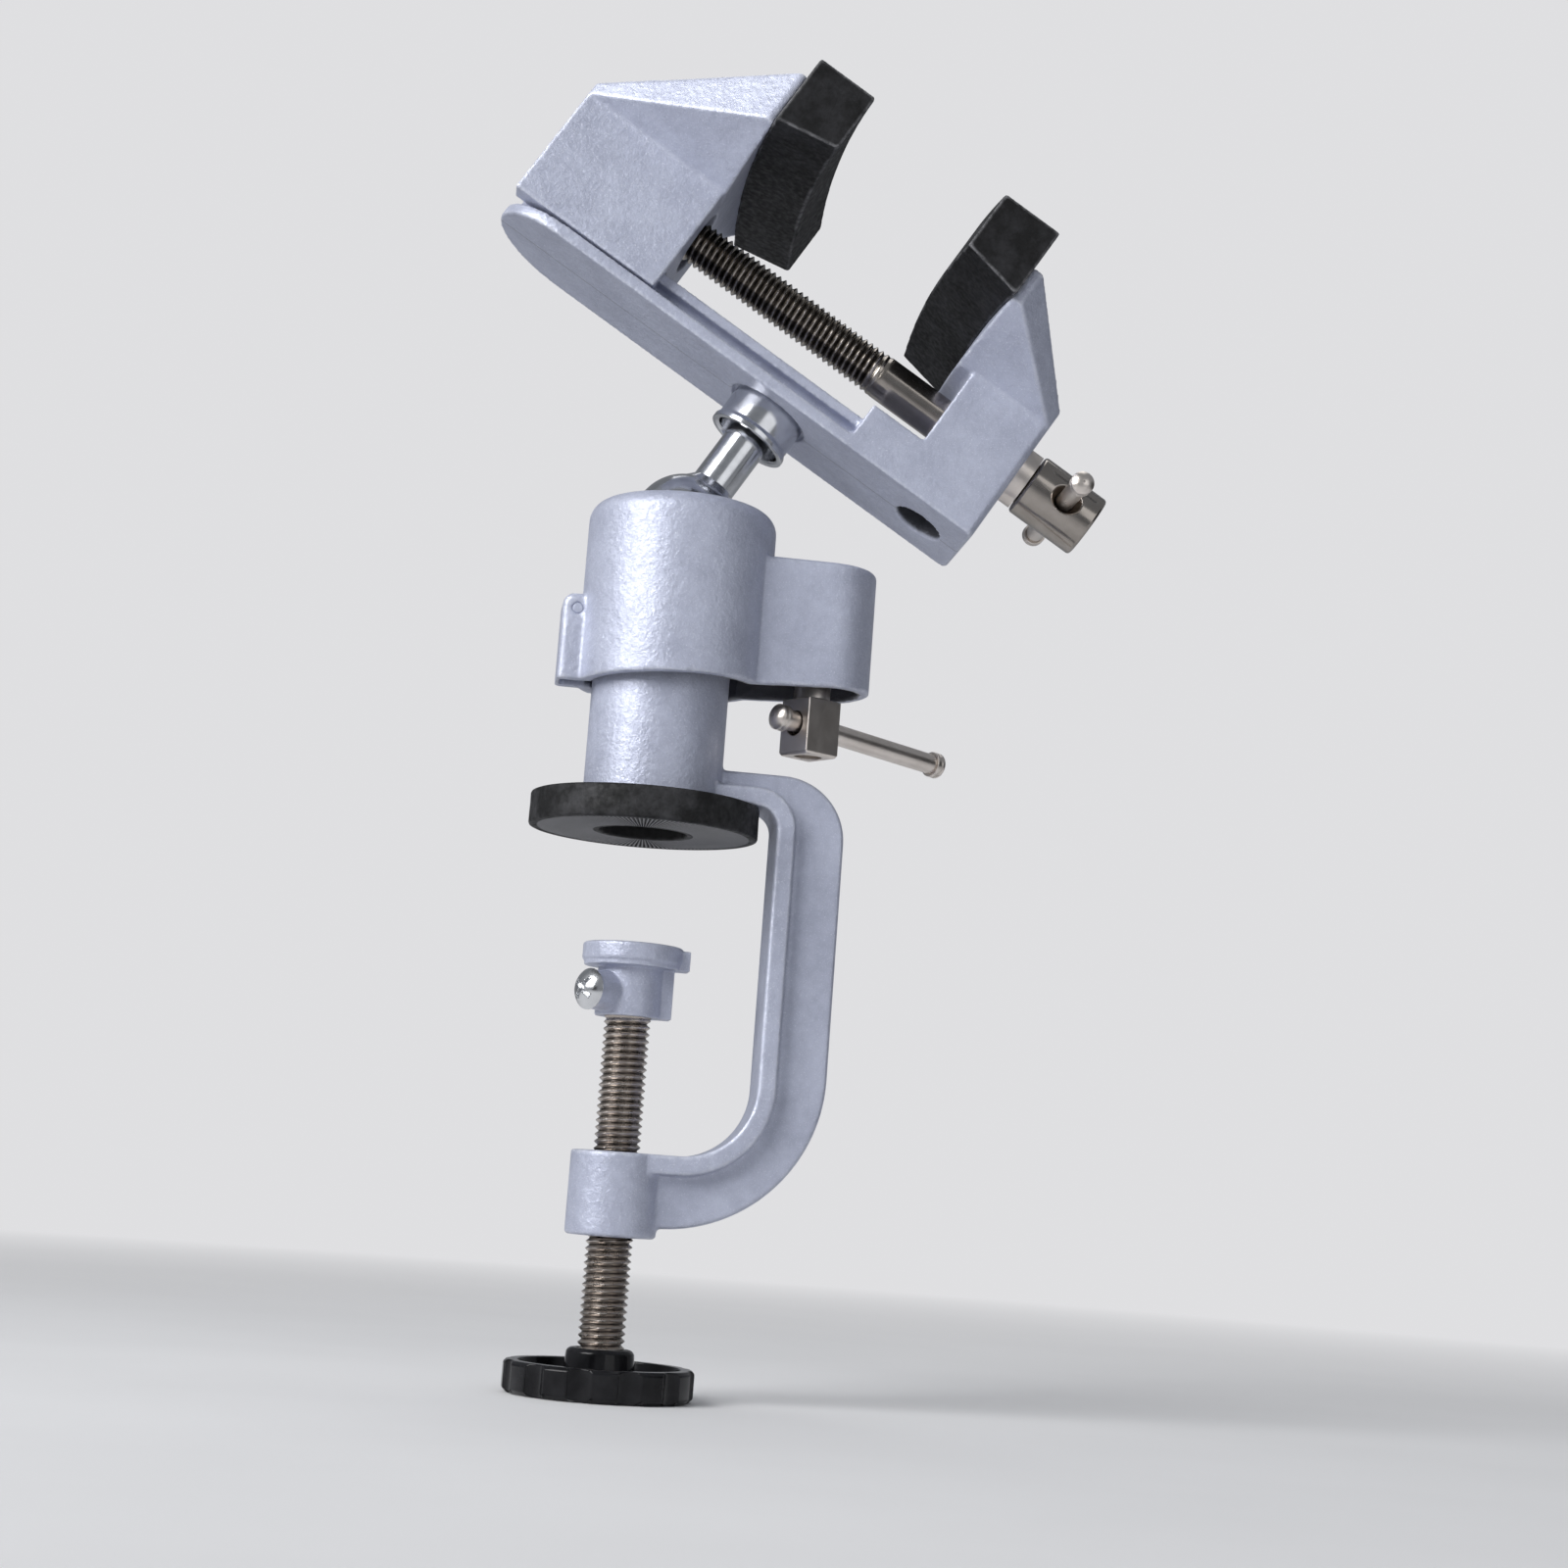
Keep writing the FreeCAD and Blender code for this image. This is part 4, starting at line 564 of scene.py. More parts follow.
@dataclass(frozen=True)
class BlackRubber:
    """Matt black rubber, dusty in patches, greyed on its edges by wear and a painted rim
    highlight, with painted light and shade on its ribs.
    """

    name: str = "bench_rubber"
    colour: Colour = (0.008, 0.008, 0.0085)
    dust: Colour = (0.05, 0.05, 0.054)
    dust_share: float = 0.8
    # grey of edges (wear and painted highlight) and of the painted highlight on rib crests
    edge: Colour = (0.30, 0.30, 0.31)
    # painted shade in the rib grooves and on the pad's hole wall
    groove: Colour = (0.004, 0.004, 0.004)
    edge_wear_and_highlight: bool = False
    ribbed: bool = False

    def make(self) -> bpy.types.Material:
        """Lays dust in patches over the black, greys edges for wear and a painted highlight,
        paints highlight on rib crests and shade in grooves, and pits it.
        """
        shader = Shader(self.name)
        patches = shader.spread(shader.noise(150.0, 6.0, 0.72), 0.0, self.dust_share, 0.42, 0.66)
        tone = shader.blend(patches, self.colour, self.dust)
        if self.edge_wear_and_highlight:
            # Edges grey by the bend: wear and a painted rim highlight.
            broken = shader.spread(shader.noise(700.0, 4.0, 0.7), 0.25, 1.0, 0.38, 0.6)
            turned = shader.spread(shader.value_of("bend"), 0.0, 1.0, 0.03, 0.1)
            wear_and_edge_highlight = shader.math("MULTIPLY", turned, broken)
            tone = shader.blend(wear_and_edge_highlight, tone, self.edge)
        if self.ribbed:
            # Painted highlight on rib crests, painted shade in grooves and the hole.
            tone = shader.blend(shader.value_of("crest"), tone, self.edge)
            tone = shader.blend(shader.value_of("groove"), tone, self.groove)
        shader.join(tone, shader.surface.inputs["Base Color"])
        shader.join(shader.spread(shader.noise(800.0, 4.0), 0.5, 0.8),
                    shader.surface.inputs["Roughness"])
        broad = shader.height(shader.noise(260.0, 4.0), 0.05 * MM)
        shader.join(shader.height(shader.noise(2400.0, 3.0), 0.02 * MM, broad),
                    shader.surface.inputs["Normal"])
        shader.set(Specular_IOR_Level=0.26)
        return shader.material


@dataclass(frozen=True)
class GlossPlastic:
    """Glossy black moulding with a faintly uneven skin."""

    name: str = "knob_plastic"
    colour: Colour = (0.0055, 0.0055, 0.0065)
    scuffed: Colour = (0.016, 0.016, 0.018)

    def make(self) -> bpy.types.Material:
        """Nearly black plastic whose gloss varies a little."""
        shader = Shader(self.name)
        shader.join(shader.blend(shader.spread(shader.noise(140.0, 5.0), 0.0, 1.0), self.colour,
                                 self.scuffed), shader.surface.inputs["Base Color"])
        shader.join(shader.spread(shader.noise(420.0, 3.0), 0.07, 0.16),
                    shader.surface.inputs["Roughness"])
        shader.join(shader.height(shader.noise(240.0, 3.0), 0.012 * MM),
                    shader.surface.inputs["Normal"])
        shader.set(Specular_IOR_Level=0.2)
        return shader.material


@dataclass(frozen=True)
class PaleBackdrop:
    """Plain pale studio paper, which the camera sees evenly pale far from the vise."""

    name: str = "pale_backdrop"
    colour: Colour = (0.78, 0.78, 0.79)
    far: Colour = (0.74, 0.74, 0.755)
    mottle: float = 1.03
    near_radius: float = 0.2
    far_radius: float = 0.9

    def make(self) -> bpy.types.Material:
        """Matt paper near the vise, fading into an even tone with distance for camera rays."""
        shader = Shader(self.name)
        paler = tuple(channel * self.mottle for channel in self.colour)
        tone = shader.blend(shader.spread(shader.noise(9.0, 3.0), 0.0, 1.0), self.colour, paler)
        shader.join(tone, shader.surface.inputs["Base Color"])
        shader.set(Roughness=0.9, Specular_IOR_Level=0.15)
        length = shader.tree.nodes.new("ShaderNodeVectorMath")
        length.operation = "LENGTH"
        shader.join(shader.place, length.inputs[0])
        away = shader.spread(length.outputs["Value"], 0.0, 1.0, self.near_radius, self.far_radius)
        path = shader.tree.nodes.new("ShaderNodeLightPath")
        seen = shader.math("MULTIPLY", away, path.outputs["Is Camera Ray"])
        even = shader.tree.nodes.new("ShaderNodeEmission")
        even.inputs["Color"].default_value = (*self.far, 1.0)
        mix = shader.tree.nodes.new("ShaderNodeMixShader")
        shader.join(seen, mix.inputs[0])
        shader.join(shader.surface.outputs[0], mix.inputs[1])
        shader.join(even.outputs[0], mix.inputs[2])
        shader.join(mix.outputs[0], shader.output.inputs[0])
        return shader.material


@dataclass
class Finishes:
    """Every finish of the vise, made once and shared by its pieces."""

    paint: bpy.types.Material = field(default_factory=lambda: SilverPaint().make())
    base_paint: bpy.types.Material = field(default_factory=lambda: SilverPaint(
        "silver_paint_base", parting=True).make())
    chrome: bpy.types.Material = field(default_factory=lambda: Chrome().make())
    nickel: bpy.types.Material = field(default_factory=lambda: WarmNickel().make())
    zinc: bpy.types.Material = field(default_factory=lambda: WarmNickel(
        "zinc_screw", (0.80, 0.81, 0.83), (0.60, 0.61, 0.63), (0.14, 0.3)).make())
    thread: bpy.types.Material = field(default_factory=lambda: ThreadSteel().make())
    # Its third colour is the painted shade at the thread roots.
    dark_thread: bpy.types.Material = field(default_factory=lambda: ThreadSteel(
        "dark_thread", (0.44, 0.40, 0.36), (0.27, 0.24, 0.21), (0.03, 0.026, 0.022), (0.16, 0.28),
        0.35).make())
    polished: bpy.types.Material = field(default_factory=lambda: ThreadSteel(
        "polished_steel", (0.40, 0.365, 0.335), (0.32, 0.29, 0.26), polish=(0.12, 0.2)).make())
    inner: bpy.types.Material = field(default_factory=lambda: PlainSteel().make())
    # The grip's edge grey stands for wear and a painted rim highlight.
    grip: bpy.types.Material = field(default_factory=lambda: BlackRubber(
        "jaw_rubber", (0.005, 0.005, 0.0055), (0.024, 0.024, 0.027), 0.9, (0.17, 0.17, 0.18),
        edge_wear_and_highlight=True).make())
    pad: bpy.types.Material = field(default_factory=lambda: BlackRubber(ribbed=True).make())
    plastic: bpy.types.Material = field(default_factory=lambda: GlossPlastic().make())


# ---------------------------------------------------------------- threads
@dataclass(frozen=True)
class Thread:
    """A rolled single-start thread."""

    radius: float
    pitch: float = 1.5 * MM
    depth: float = 0.75 * MM
    flat: float = 0.1
    steps_per_turn: int = 48
    rows_per_pitch: int = 8

    def rod(self, start: float, end: float, runout: float) -> tuple[np.ndarray, np.ndarray, int]:
        """Points of a threaded rod along +Z, open at both ends.

        The radius at height z and angle a is the crest's, less the depth times a V profile
        of the phase z / pitch - a / turn; the profile is 0 over the crest's flat, rises
        linearly down the flank to 1 over the root's flat, and fades out over the runout.

        Args:
            start: height of the first ring.
            end: height of the last ring.
            runout: length over which the groove fades out at the end.

        Returns:
            The points, their share of the thread's depth, and the number of rings.
        """
        rows = int(round((end - start) / self.pitch * self.rows_per_pitch)) + 1
        height = np.linspace(start, end, rows)[:, None]
        angle = np.linspace(0.0, 2.0 * np.pi, self.steps_per_turn, endpoint=False)[None, :]
        phase = np.mod(height / self.pitch - angle / (2.0 * np.pi), 1.0)
        profile = np.clip((1.0 - np.abs(2.0 * phase - 1.0) - self.flat)
                          / (1.0 - 2.0 * self.flat), 0.0, 1.0)
        fade = np.clip((end - height) / runout, 0.0, 1.0)
        groove = profile * fade
        radius = self.radius - self.depth * groove
        points = np.stack([radius * np.cos(angle), radius * np.sin(angle),
                           height + 0.0 * angle], axis=-1)
        return points.reshape(-1, 3), groove.reshape(-1), rows

    def solid(self, rings: list[tuple[float, float]], points: np.ndarray, groove: np.ndarray,
              rows: int) -> tuple[np.ndarray, np.ndarray, list[list[int]]]:
        """Adds plain rings after the thread and closes both ends with fans.

        Args:
            rings: (radius, height) of each plain ring that follows the thread.
            points: the thread's points.
            groove: the thread's depth share per point.
            rows: the thread's number of rings.

        Returns:
            All points, their depth shares, and the faces.
        """
        count = self.steps_per_turn
        angle = np.linspace(0.0, 2.0 * np.pi, count, endpoint=False)
        sizes = np.array(rings)
        plain = np.stack([sizes[:, :1] * np.cos(angle), sizes[:, :1] * np.sin(angle),
                          np.repeat(sizes[:, 1:], count, axis=1)], axis=-1).reshape(-1, 3)
        poles = np.array([[0.0, 0.0, points[0, 2]], [0.0, 0.0, sizes[-1, 1]]])
        whole = np.concatenate([points, plain, poles])
        depth = np.concatenate([groove, np.zeros(len(plain) + 2)])
        total = rows + len(rings)
        sides = ring_faces(total, count)
        column = np.arange(count)
        following = (column + 1) % count
        last = (total - 1) * count
        bottom = np.stack([following, column, np.full(count, total * count)], axis=-1)
        top = np.stack([last + column, last + following, np.full(count, total * count + 1)],
                       axis=-1)
        return whole, depth, [*sides.tolist(), *bottom.tolist(), *top.tolist()]


# ---------------------------------------------------------------- sub-assemblies
@dataclass
class ClampFrame:
    """C-clamp casting with its column, the ribbed bench pad and the ball's seat."""

    pad_radius: float = 24.9 * MM
    pad_hole: float = 9.5 * MM
    pad_thickness: float = 7.0 * MM
    pad_round: float = 0.45 * MM
    pad_sharp: float = math.radians(50.0)
    rib_count: int = 150
    rib_depth: float = 0.38 * MM
    steps_per_rib: int = 6
    # share of painted highlight on rib crests; hole_shade is painted shade on the hole's wall
    rib_crest_highlight: float = 0.9
    hole_shade: float = 0.95
    bore_zone: float = 5.6 * MM
    skin: float = 0.48 * MM

    def pad_surface(self) -> tuple[np.ndarray, np.ndarray, np.ndarray, np.ndarray]:
        """Ring of rubber as a closed grid of profile points carried round the axis.

        The profile runs up the outer wall, in over the top, down the hole and out along the
        underside. Underside heights are raised by the rib depth times a rounded square wave
        of the angle, faded out close to the rim and to the hole.

        Returns:
            The points, the quads, each point's painted shade (its share of the groove's depth, or
            hole_shade on the hole's wall), and how far it stands on a rib, as a painted crest
            highlight.
        """
        outer, hole, top, soft = self.pad_radius, self.pad_hole, self.pad_thickness, self.pad_round
        profile = np.array([
            (outer - soft, 0.0), (outer - 0.3 * soft, 0.3 * soft), (outer, soft),
            (outer, 0.33 * top), (outer - 0.05 * MM, 0.66 * top), (outer, top - soft),
            (outer - 0.3 * soft, top - 0.3 * soft), (outer - soft, top),
            (0.5 * (outer + hole), top), (hole, top), (hole, 0.5 * top),
            (hole, soft), (hole + 0.3 * soft, 0.3 * soft),
            (hole + soft, 0.0), (hole + 1.2 * MM, 0.0), (hole + 1.5 * MM, 0.0),
            (0.5 * (outer + hole), 0.0), (outer - 2.0 * MM, 0.0), (outer - 1.6 * MM, 0.0),
        ])
        hole_wall, underside = slice(9, 13), slice(15, 18)
        ribbed = np.zeros(len(profile))
        ribbed[underside] = 1.0
        columns = self.rib_count * self.steps_per_rib
        angle = np.linspace(0.0, 2.0 * np.pi, columns, endpoint=False)
        wave = np.clip(0.5 + 1.2 * np.sin(self.rib_count * angle), 0.0, 1.0)
        # Painted shade in the grooves and on the hole's wall; painted highlight on the rib crests.
        groove = ribbed[:, None] * wave[None, :]
        crest = self.rib_crest_highlight * ribbed[:, None] * (1.0 - wave[None, :])
        groove[hole_wall] = self.hole_shade
        height = profile[:, 1:] + self.rib_depth * ribbed[:, None] * wave[None, :]
        radius = profile[:, :1]
        points = np.stack([radius * np.cos(angle), radius * np.sin(angle), height], axis=-1)
        closed = np.concatenate([points, points[:1]])
        faces = ring_faces(len(closed), columns) % (len(profile) * columns)
        return points.reshape(-1, 3), faces, groove.reshape(-1), crest.reshape(-1)

    def in_bore(self, places: np.ndarray) -> np.ndarray:
        """Painted shade: 1 inside the screw boss and on the spigot in the pad's hole, which lie in
        shade.
        """
        from_axis = np.hypot(places[:, 0], places[:, 1])
        in_pad = (places[:, 2] > 0.0) & (places[:, 2] < self.pad_thickness)
        in_pad &= from_axis < self.pad_hole
        return np.where((from_axis < self.bore_zone) | in_pad, 1.0, 0.0)

    def build(self, looks: Finishes) -> None:
        """Casts the frame, moulds the pad and dresses the seat."""
        casting = moulded_copy("clamp_frame", "clamp_frame_casting", self.skin,
                               hidden=self.in_bore)
        place(casting, looks.paint, Body.FRAME, "cast_silver", "clamp_frame")
        points, faces, groove, crest = self.pad_surface()
        pad = mesh_object("bench_pad_rubber", points, faces)
        # Painted shade and painted crest highlight for the pad's finish.
        add_point_value(pad, "groove", groove)
        add_point_value(pad, "crest", crest)
        pad.data.set_sharp_from_angle(angle=self.pad_sharp)
        place(pad, looks.pad, Body.FRAME, "bench_rubber", "bench_pad")
        dress("ball_seat", looks.inner)
        dress("seat_screw", looks.zinc)


@dataclass
class ClampScrew:
    """Clamp screw with its knob, metal sleeve and the swivelling pressure pad."""

    thread: Thread = field(default_factory=lambda: Thread(5.0 * MM))
    thread_low: float = -111.3 * MM
    thread_high: float = -40.0 * MM
    tip_top: float = -27.1 * MM
    groove_low: float = -37.3 * MM
    groove_high: float = -32.9 * MM
    groove_radius: float = 3.9 * MM
    runout: float = 1.0 * MM
    under_crest: float = 0.03 * MM
    pad_skin: float = 0.25 * MM
    knob_edge: float = 0.3 * MM
    screw_edge: float = 0.12 * MM

    def build(self, looks: Finishes) -> None:
        """Cuts the thread, then rounds the knob and the pressure pad."""
        points, groove, rows = self.thread.rod(self.thread_low, self.thread_high, self.runout)
        full = self.thread.radius - self.under_crest
        after = [(full, self.groove_low), (self.groove_radius, self.groove_low),
                 (self.groove_radius, self.groove_high), (full, self.groove_high),
                 (full, self.tip_top)]
        whole, depth, faces = self.thread.solid(after, points, groove, rows)
        rod = mesh_object("clamp_screw_thread", whole, faces)
        add_point_value(rod, "thread_depth", depth)
        rod.data.set_sharp_from_angle(angle=THREAD_SHARP)
        place(rod, looks.thread, Body.CLAMP_SCREW, "screw_steel", "clamp_screw")

        knob = softened_copy("hand_knob", "hand_knob_moulding", self.knob_edge)
        place(knob, looks.plastic, Body.CLAMP_SCREW, "knob_plastic", "hand_knob")
        dress("knob_insert", looks.inner)

        pad = moulded_copy("pressure_pad", "pressure_pad_casting", self.pad_skin)
        place(pad, looks.paint, Body.PRESS_PAD, "cast_silver", "pressure_pad")
        screw = softened_copy("pressure_pad_screw", "pressure_pad_cross_screw", self.screw_edge,
                              SMALL_SEGMENTS)
        place(screw, looks.zinc, Body.PRESS_PAD, "zinc_screw", "pressure_pad_screw")


@dataclass
class SocketCasing:
    """Housing over the ball with its lever, pin, tapped plate and lock screw."""

    skin: float = 0.48 * MM
    centre_x: float = 3.3 * MM
    bore: float = 18.9 * MM
    throat_top: float = 60.0 * MM
    bottom: float = 31.5 * MM
    fading: float = 1.2 * MM
    lobe_x: float = 36.2 * MM
    lobe_inner: float = 9.1 * MM
    block_edge: float = 0.3 * MM

    def in_hollow(self, places: np.ndarray) -> np.ndarray:
        """Share of painted shade: how deep a place lies in the round bore below the ball's seat or
        the lobe's channel.

        0 at the open underside and 1 once the place is the fading height above it.
        """
        round_bore = np.hypot(places[:, 0] - self.centre_x, places[:, 1]) < self.bore
        along = np.clip(places[:, 0], self.centre_x, self.lobe_x)
        channel = np.hypot(places[:, 0] - along, places[:, 1]) < self.lobe_inner
        inside = (round_bore | channel) & (places[:, 2] < self.throat_top)
        return inside * np.clip((places[:, 2] - self.bottom) / self.fading, 0.0, 1.0)

    def build(self, looks: Finishes) -> None:
        """Casts the housing, rounds the square block and dresses what is inside."""
        housing = moulded_copy("socket_casing", "socket_casing_casting", self.skin,
                               hidden=self.in_hollow)
        place(housing, looks.paint, Body.CASING, "cast_silver", "socket_casing")
        for node in ("lock_nut_plate", "rocker_lever", "thrust_button"):
            dress(node, looks.inner)
        dress("pivot_pin", looks.paint)
        block = softened_copy("lock_screw", "lock_screw_block", self.block_edge)
        place(block, looks.nickel, Body.LOCK_SCREW, "nickel", "lock_screw")
        dress("lock_bar", looks.nickel)
        caps = softened_copy("lock_bar_caps", "lock_bar_end_caps", SMALL_EDGE, SMALL_SEGMENTS)
        place(caps, looks.nickel, Body.LOCK_BAR, "nickel", "lock_bar_caps")


@dataclass
class BallStud:
    """Chromed ball and stem, and the cupped collar under the head."""

    collar_edge: float = 0.2 * MM

    def build(self, looks: Finishes) -> None:
        """Dresses the ball and softens the collar's rims."""
        dress("ball_stud", looks.chrome)
        collar = softened_copy("stem_collar", "stem_collar_cup", self.collar_edge)
        place(collar, looks.chrome, Body.HEAD, "ball_chrome", "stem_collar")


@dataclass
class ViseHead:
    """Base with the fixed jaw, the moving jaw and both rubber grips."""

    skin: float = 0.52 * MM
    jaw_skin: float = 0.44 * MM
    grip_skin: float = 0.36 * MM
    grip_relax: int = 6
    access_place: float = 41.7 * MM
    access_radius: float = 6.0 * MM
    access_depth: float = 11.6 * MM
    sole_mouth: float = 1.0 * MM

    def in_access_hole(self, places: np.ndarray) -> np.ndarray:
        """Share of painted shade: how deep a place lies in the round hole in the sole plate, 0 at
        its mouth.
        """
        mouth = np.array(head_point(self.access_place, 0.0, 0.0))
        upward = np.array(head_point(0.0, 0.0, 1.0) - head_point(0.0, 0.0, 0.0))
        height = (places - mouth) @ upward
        aside = np.linalg.norm(places - mouth - height[:, None] * upward, axis=1)
        inside = (aside < self.access_radius) & (height < self.access_depth)
        return inside * np.clip(height / self.sole_mouth, 0.0, 1.0)

    def build(self, looks: Finishes) -> None:
        """Casts the base and the jaw, moulds both grips and dresses the inner pieces."""
        base = moulded_copy("vise_base", "vise_base_casting", self.skin,
                            hidden=self.in_access_hole)
        place(base, looks.base_paint, Body.HEAD, "cast_silver", "vise_base")
        jaw = moulded_copy("moving_jaw", "moving_jaw_casting", self.jaw_skin, 1)
        place(jaw, looks.paint, Body.JAW, "cast_silver", "moving_jaw")
        for node, body in (("jaw_pad_fixed", Body.HEAD), ("jaw_pad_moving", Body.JAW)):
            grip = moulded_copy(node, node + "_rubber", self.grip_skin, self.grip_relax)
            place(grip, looks.grip, body, "jaw_rubber", node)
        dress("retainer_screw", looks.inner)
        dress("jaw_nut", looks.inner)


@dataclass
class LeadScrew:
    """Lead screw with its cross-drilled head, washer and sliding bar."""

    thread: Thread = field(default_factory=lambda: Thread(5.0 * MM))
    left: float = -68.7 * MM
    thread_end: float = 15.9 * MM
    axis_height: float = 22.8 * MM
    runout: float = 3.0 * MM
    overlap: float = 0.5 * MM
    cut_play: float = 0.02 * MM
    head_edge: float = 0.3 * MM

    def head_copy(self) -> bpy.types.Object:
        """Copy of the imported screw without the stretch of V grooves, edges rounded."""
        piece = softened_copy("lead_screw", "lead_screw_head", self.head_edge)
        origin = head_point(self.thread_end, 0.0, self.axis_height)
        along = head_point(1.0, 0.0, 0.0) - head_point(0.0, 0.0, 0.0)
        shape = bmesh.new()
        shape.from_mesh(piece.data)
        spare = [vertex for vertex in shape.verts
                 if (vertex.co - origin).dot(along) < -self.cut_play]
        bmesh.ops.delete(shape, geom=spare, context="VERTS")
        holes = [edge for edge in shape.edges if edge.is_boundary]
        bmesh.ops.holes_fill(shape, edges=holes, sides=0)
        shape.to_mesh(piece.data)
        shape.free()
        add_point_value(piece, "thread_depth", np.zeros(len(piece.data.vertices)))
        return piece

    def build(self, looks: Finishes) -> None:
        """Cuts the helix along the head's axis and dresses the head, washer and bar."""
        end = self.thread_end - self.left
        points, groove, rows = self.thread.rod(0.0, end, self.runout)
        whole, depth, faces = self.thread.solid([(self.thread.radius, end + self.overlap)],
                                                points, groove, rows)
        turned = np.stack([whole[:, 2] + self.left, whole[:, 0], whole[:, 1] + self.axis_height],
                          axis=-1)
        rod = mesh_object("lead_screw_thread", leaned(turned), faces)
        add_point_value(rod, "thread_depth", depth)
        rod.data.set_sharp_from_angle(angle=THREAD_SHARP)
        place(rod, looks.dark_thread, Body.LEAD_SCREW, "screw_steel")
        head = self.head_copy()
        place(head, looks.polished, Body.LEAD_SCREW, "screw_steel", "lead_screw")
        dress("thrust_washer", looks.nickel)
        dress("lead_screw_bar", looks.nickel)
        caps = softened_copy("lead_bar_caps", "lead_bar_end_caps", SMALL_EDGE, SMALL_SEGMENTS)
        place(caps, looks.nickel, Body.LEAD_BAR, "nickel", "lead_bar_caps")


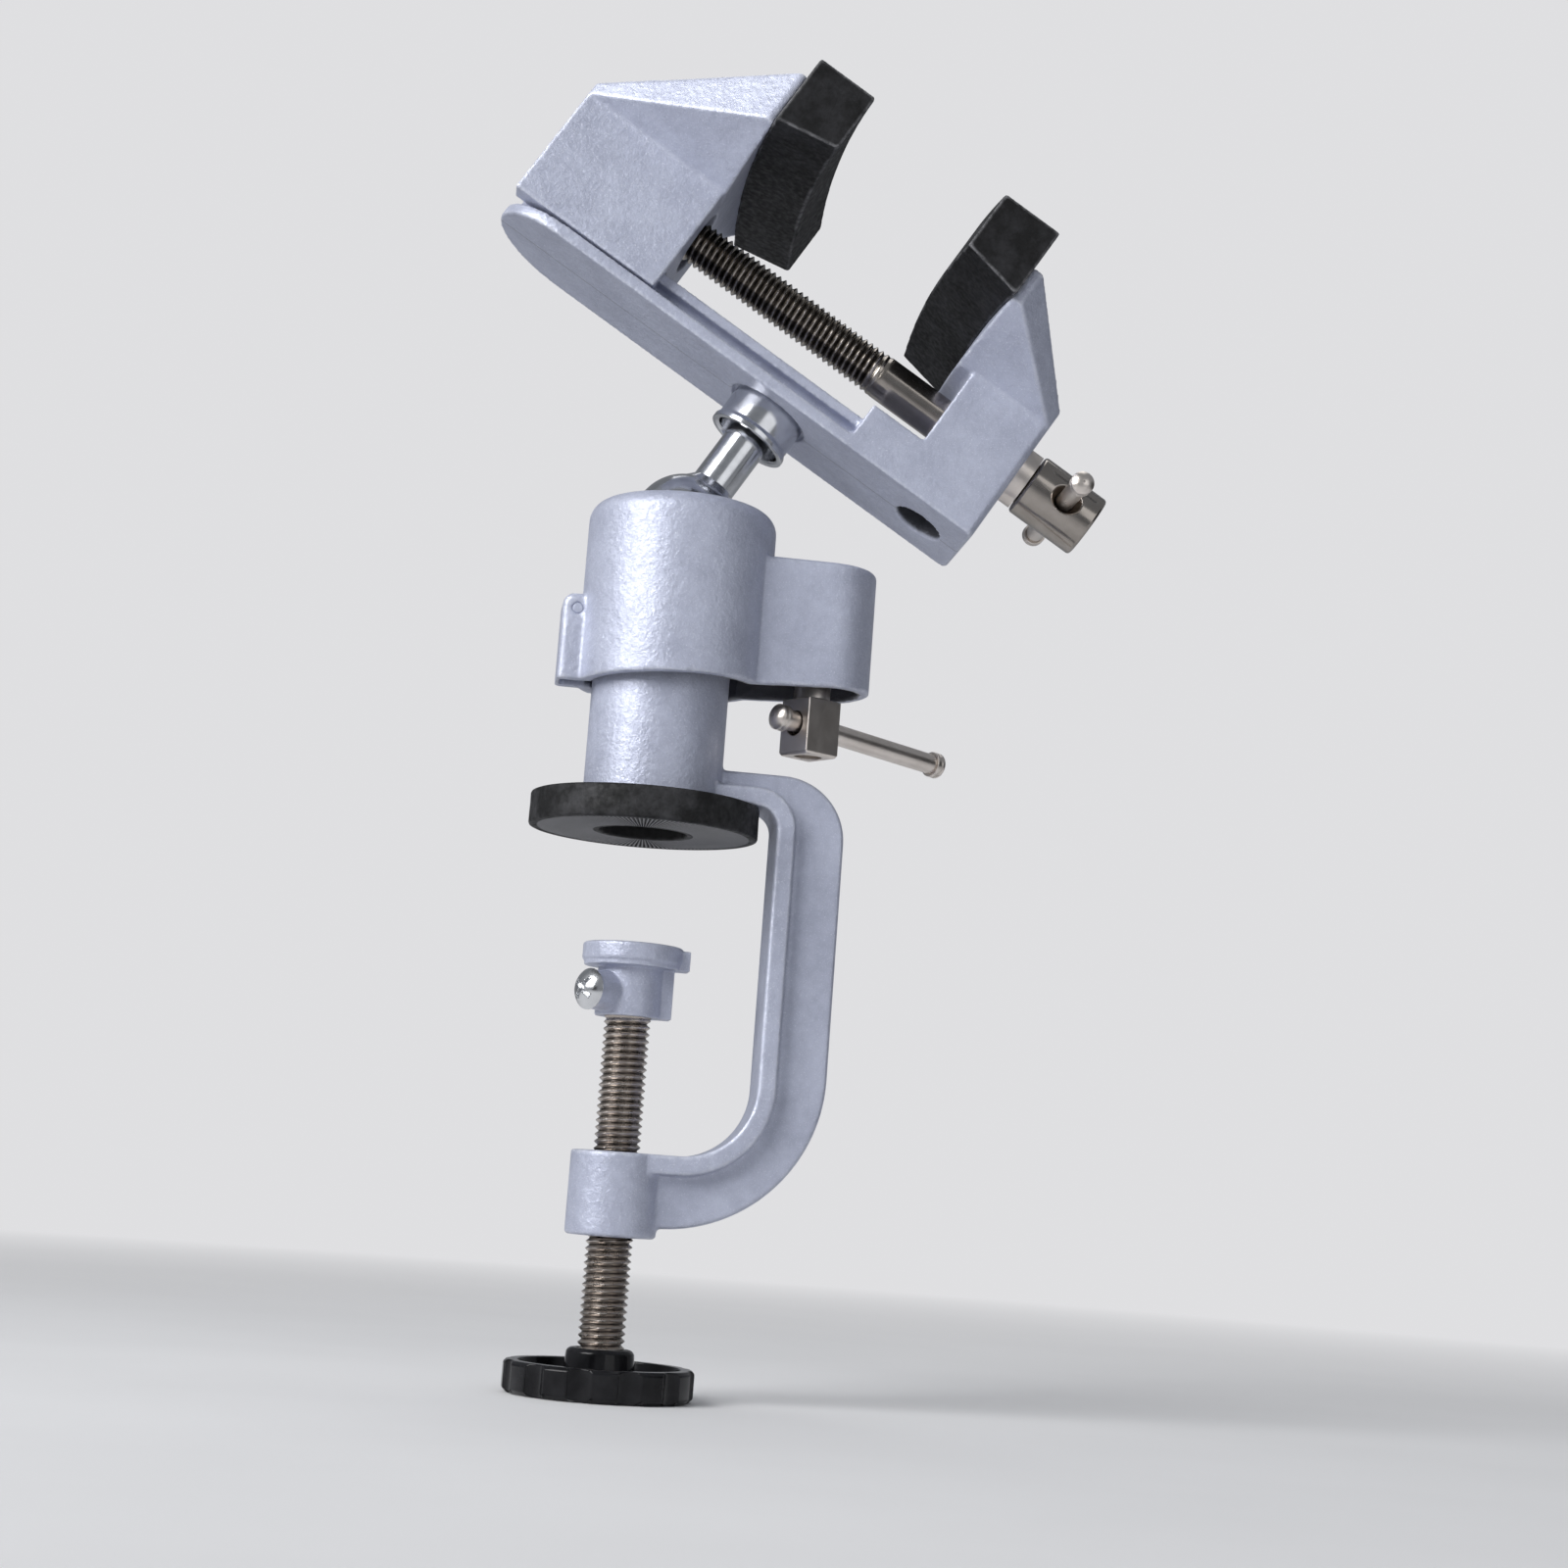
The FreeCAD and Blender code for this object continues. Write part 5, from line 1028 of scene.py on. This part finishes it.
# ---------------------------------------------------------------- studio
@dataclass
class Studio:
    """Pale sweep, soft lights and the camera."""

    floor_height: float = -119.85 * MM
    floor_half: float = 2.4
    sweep_start: float = 0.9
    sweep_radius: float = 0.6
    sweep_rows: int = 24
    camera_place: Place = (-40.42 * MM, -565.23 * MM, -76.72 * MM)
    yaw: float = math.radians(7.10)
    pitch: float = math.radians(9.02)
    roll: float = math.radians(4.25)
    lens: float = 60.37
    sensor: float = 36.0
    lamp_target: Place = (0.02, 0.0, 0.1)
    card_target: Place = (0.02, 0.0, 0.02)
    box_size: float = 0.6
    sky_light: Colour = (0.9, 0.94, 1.0)
    sky_seen: Colour = (0.74, 0.74, 0.755)
    sky_power: float = 0.25

    def floor(self) -> None:
        """Floor whose back curves up into a wall.

        The section goes level to the sweep's start, then round a quarter circle, then up; it
        is carried straight along X.
        """
        turn = np.linspace(0.0, np.pi / 2.0, self.sweep_rows)
        curve_y = self.sweep_start + self.sweep_radius * np.sin(turn)
        curve_z = self.floor_height + self.sweep_radius * (1.0 - np.cos(turn))
        section_y = np.concatenate([[-self.floor_half], curve_y, curve_y[-1:]])
        section_z = np.concatenate([[self.floor_height], curve_z, curve_z[-1:] + self.floor_half])
        rows = len(section_y)
        sides = np.array([-self.floor_half, self.floor_half])
        points = np.stack([np.repeat(sides[None, :], rows, axis=0),
                           np.repeat(section_y[:, None], 2, axis=1),
                           np.repeat(section_z[:, None], 2, axis=1)], axis=-1).reshape(-1, 3)
        first = np.arange(rows - 1) * 2
        faces = np.stack([first, first + 1, first + 3, first + 2], axis=-1)
        sweep = mesh_object("studio_sweep", points, faces)
        sweep.data.materials.append(PaleBackdrop().make())

    def lamp(self, name: str, place_at: Place, power: float,
             spread: float = math.pi) -> None:
        """Square soft box that faces the vise; a spread under half a turn narrows its light."""
        light = bpy.data.lights.new(name, "AREA")
        light.shape = "SQUARE"
        light.size = self.box_size
        light.energy = power
        light.spread = spread
        lamp = linked(name, light)
        lamp.location = place_at
        direction = Vector(self.lamp_target) - Vector(place_at)
        lamp.rotation_euler = direction.to_track_quat("-Z", "Y").to_euler()

    def card(self, name: str, place_at: Place, size: float) -> None:
        """Black card that only polished metal reflects, facing the vise."""
        half = size / 2.0
        corners = np.array([[-half, -half, 0.0], [half, -half, 0.0], [half, half, 0.0],
                            [-half, half, 0.0]])
        turn = (Vector(self.card_target) - Vector(place_at)).to_track_quat("Z", "Y")
        points = corners @ np.array(turn.to_matrix()).T + np.array(place_at)
        sheet = mesh_object(name, points, np.array([[0, 1, 2, 3]]))
        sheet.visible_camera = False
        sheet.visible_diffuse = False
        sheet.visible_shadow = False
        sheet.data.materials.append(GlossPlastic(name + "_black").make())

    def sky(self) -> None:
        """Even pale surroundings: paler to the camera than in reflections and as light."""
        world = bpy.data.worlds.new("pale_room")
        bpy.context.scene.world = world
        world.use_nodes = True
        tree = world.node_tree
        tree.nodes.clear()
        output = tree.nodes.new("ShaderNodeOutputWorld")
        mix = tree.nodes.new("ShaderNodeMixShader")
        soft = tree.nodes.new("ShaderNodeBackground")
        soft.inputs["Color"].default_value = (*self.sky_light, 1.0)
        soft.inputs["Strength"].default_value = self.sky_power
        seen = tree.nodes.new("ShaderNodeBackground")
        seen.inputs["Color"].default_value = (*self.sky_seen, 1.0)
        seen.inputs["Strength"].default_value = 1.0
        path = tree.nodes.new("ShaderNodeLightPath")
        tree.links.new(path.outputs["Is Camera Ray"], mix.inputs[0])
        tree.links.new(soft.outputs[0], mix.inputs[1])
        tree.links.new(seen.outputs[0], mix.inputs[2])
        tree.links.new(mix.outputs[0], output.inputs[0])

    def camera(self) -> None:
        """Low camera in front of the vise, turned by yaw, pitch and roll."""
        forward = Vector((math.sin(self.yaw) * math.cos(self.pitch),
                          math.cos(self.yaw) * math.cos(self.pitch), math.sin(self.pitch)))
        level = Vector((math.cos(self.yaw), -math.sin(self.yaw), 0.0))
        upright = level.cross(forward)
        right = level * math.cos(self.roll) + upright * math.sin(self.roll)
        upward = upright * math.cos(self.roll) - level * math.sin(self.roll)
        data = bpy.data.cameras.new("bench_view")
        data.sensor_width = self.sensor
        data.lens = self.lens
        data.clip_start = 0.01
        view = linked("bench_view", data)
        turned = Matrix((right, upward, -forward)).transposed().to_4x4()
        view.matrix_world = Matrix.Translation(Vector(self.camera_place)) @ turned
        bpy.context.scene.camera = view

    def build(self) -> None:
        """Sets the room, the lights and the camera."""
        bpy.context.scene.view_settings.view_transform = "Standard"
        self.floor()
        self.sky()
        self.lamp("key_box", (-0.62, -0.44, 0.44), 2.6, math.radians(90.0))
        self.lamp("fill_box", (0.5, -0.85, 0.25), 0.9)
        self.lamp("top_box", (0.1, 0.25, 0.85), 1.5)
        self.card("front_card", (-0.4, -0.75, 0.02), 0.3)
        self.card("right_card", (0.8, -0.1, 0.1), 0.5)
        self.camera()


def main() -> None:
    """Builds the sub-assemblies in order and sets the studio."""
    logging.basicConfig(level=logging.INFO, format="%(name)s: %(message)s")
    looks = Finishes()
    for assembly in (ClampFrame(), ClampScrew(), SocketCasing(), BallStud(), ViseHead(),
                     LeadScrew()):
        LOG.info("building %s", type(assembly).__name__)
        assembly.build(looks)
    Studio().build()


if __name__ == "__main__":
    main()
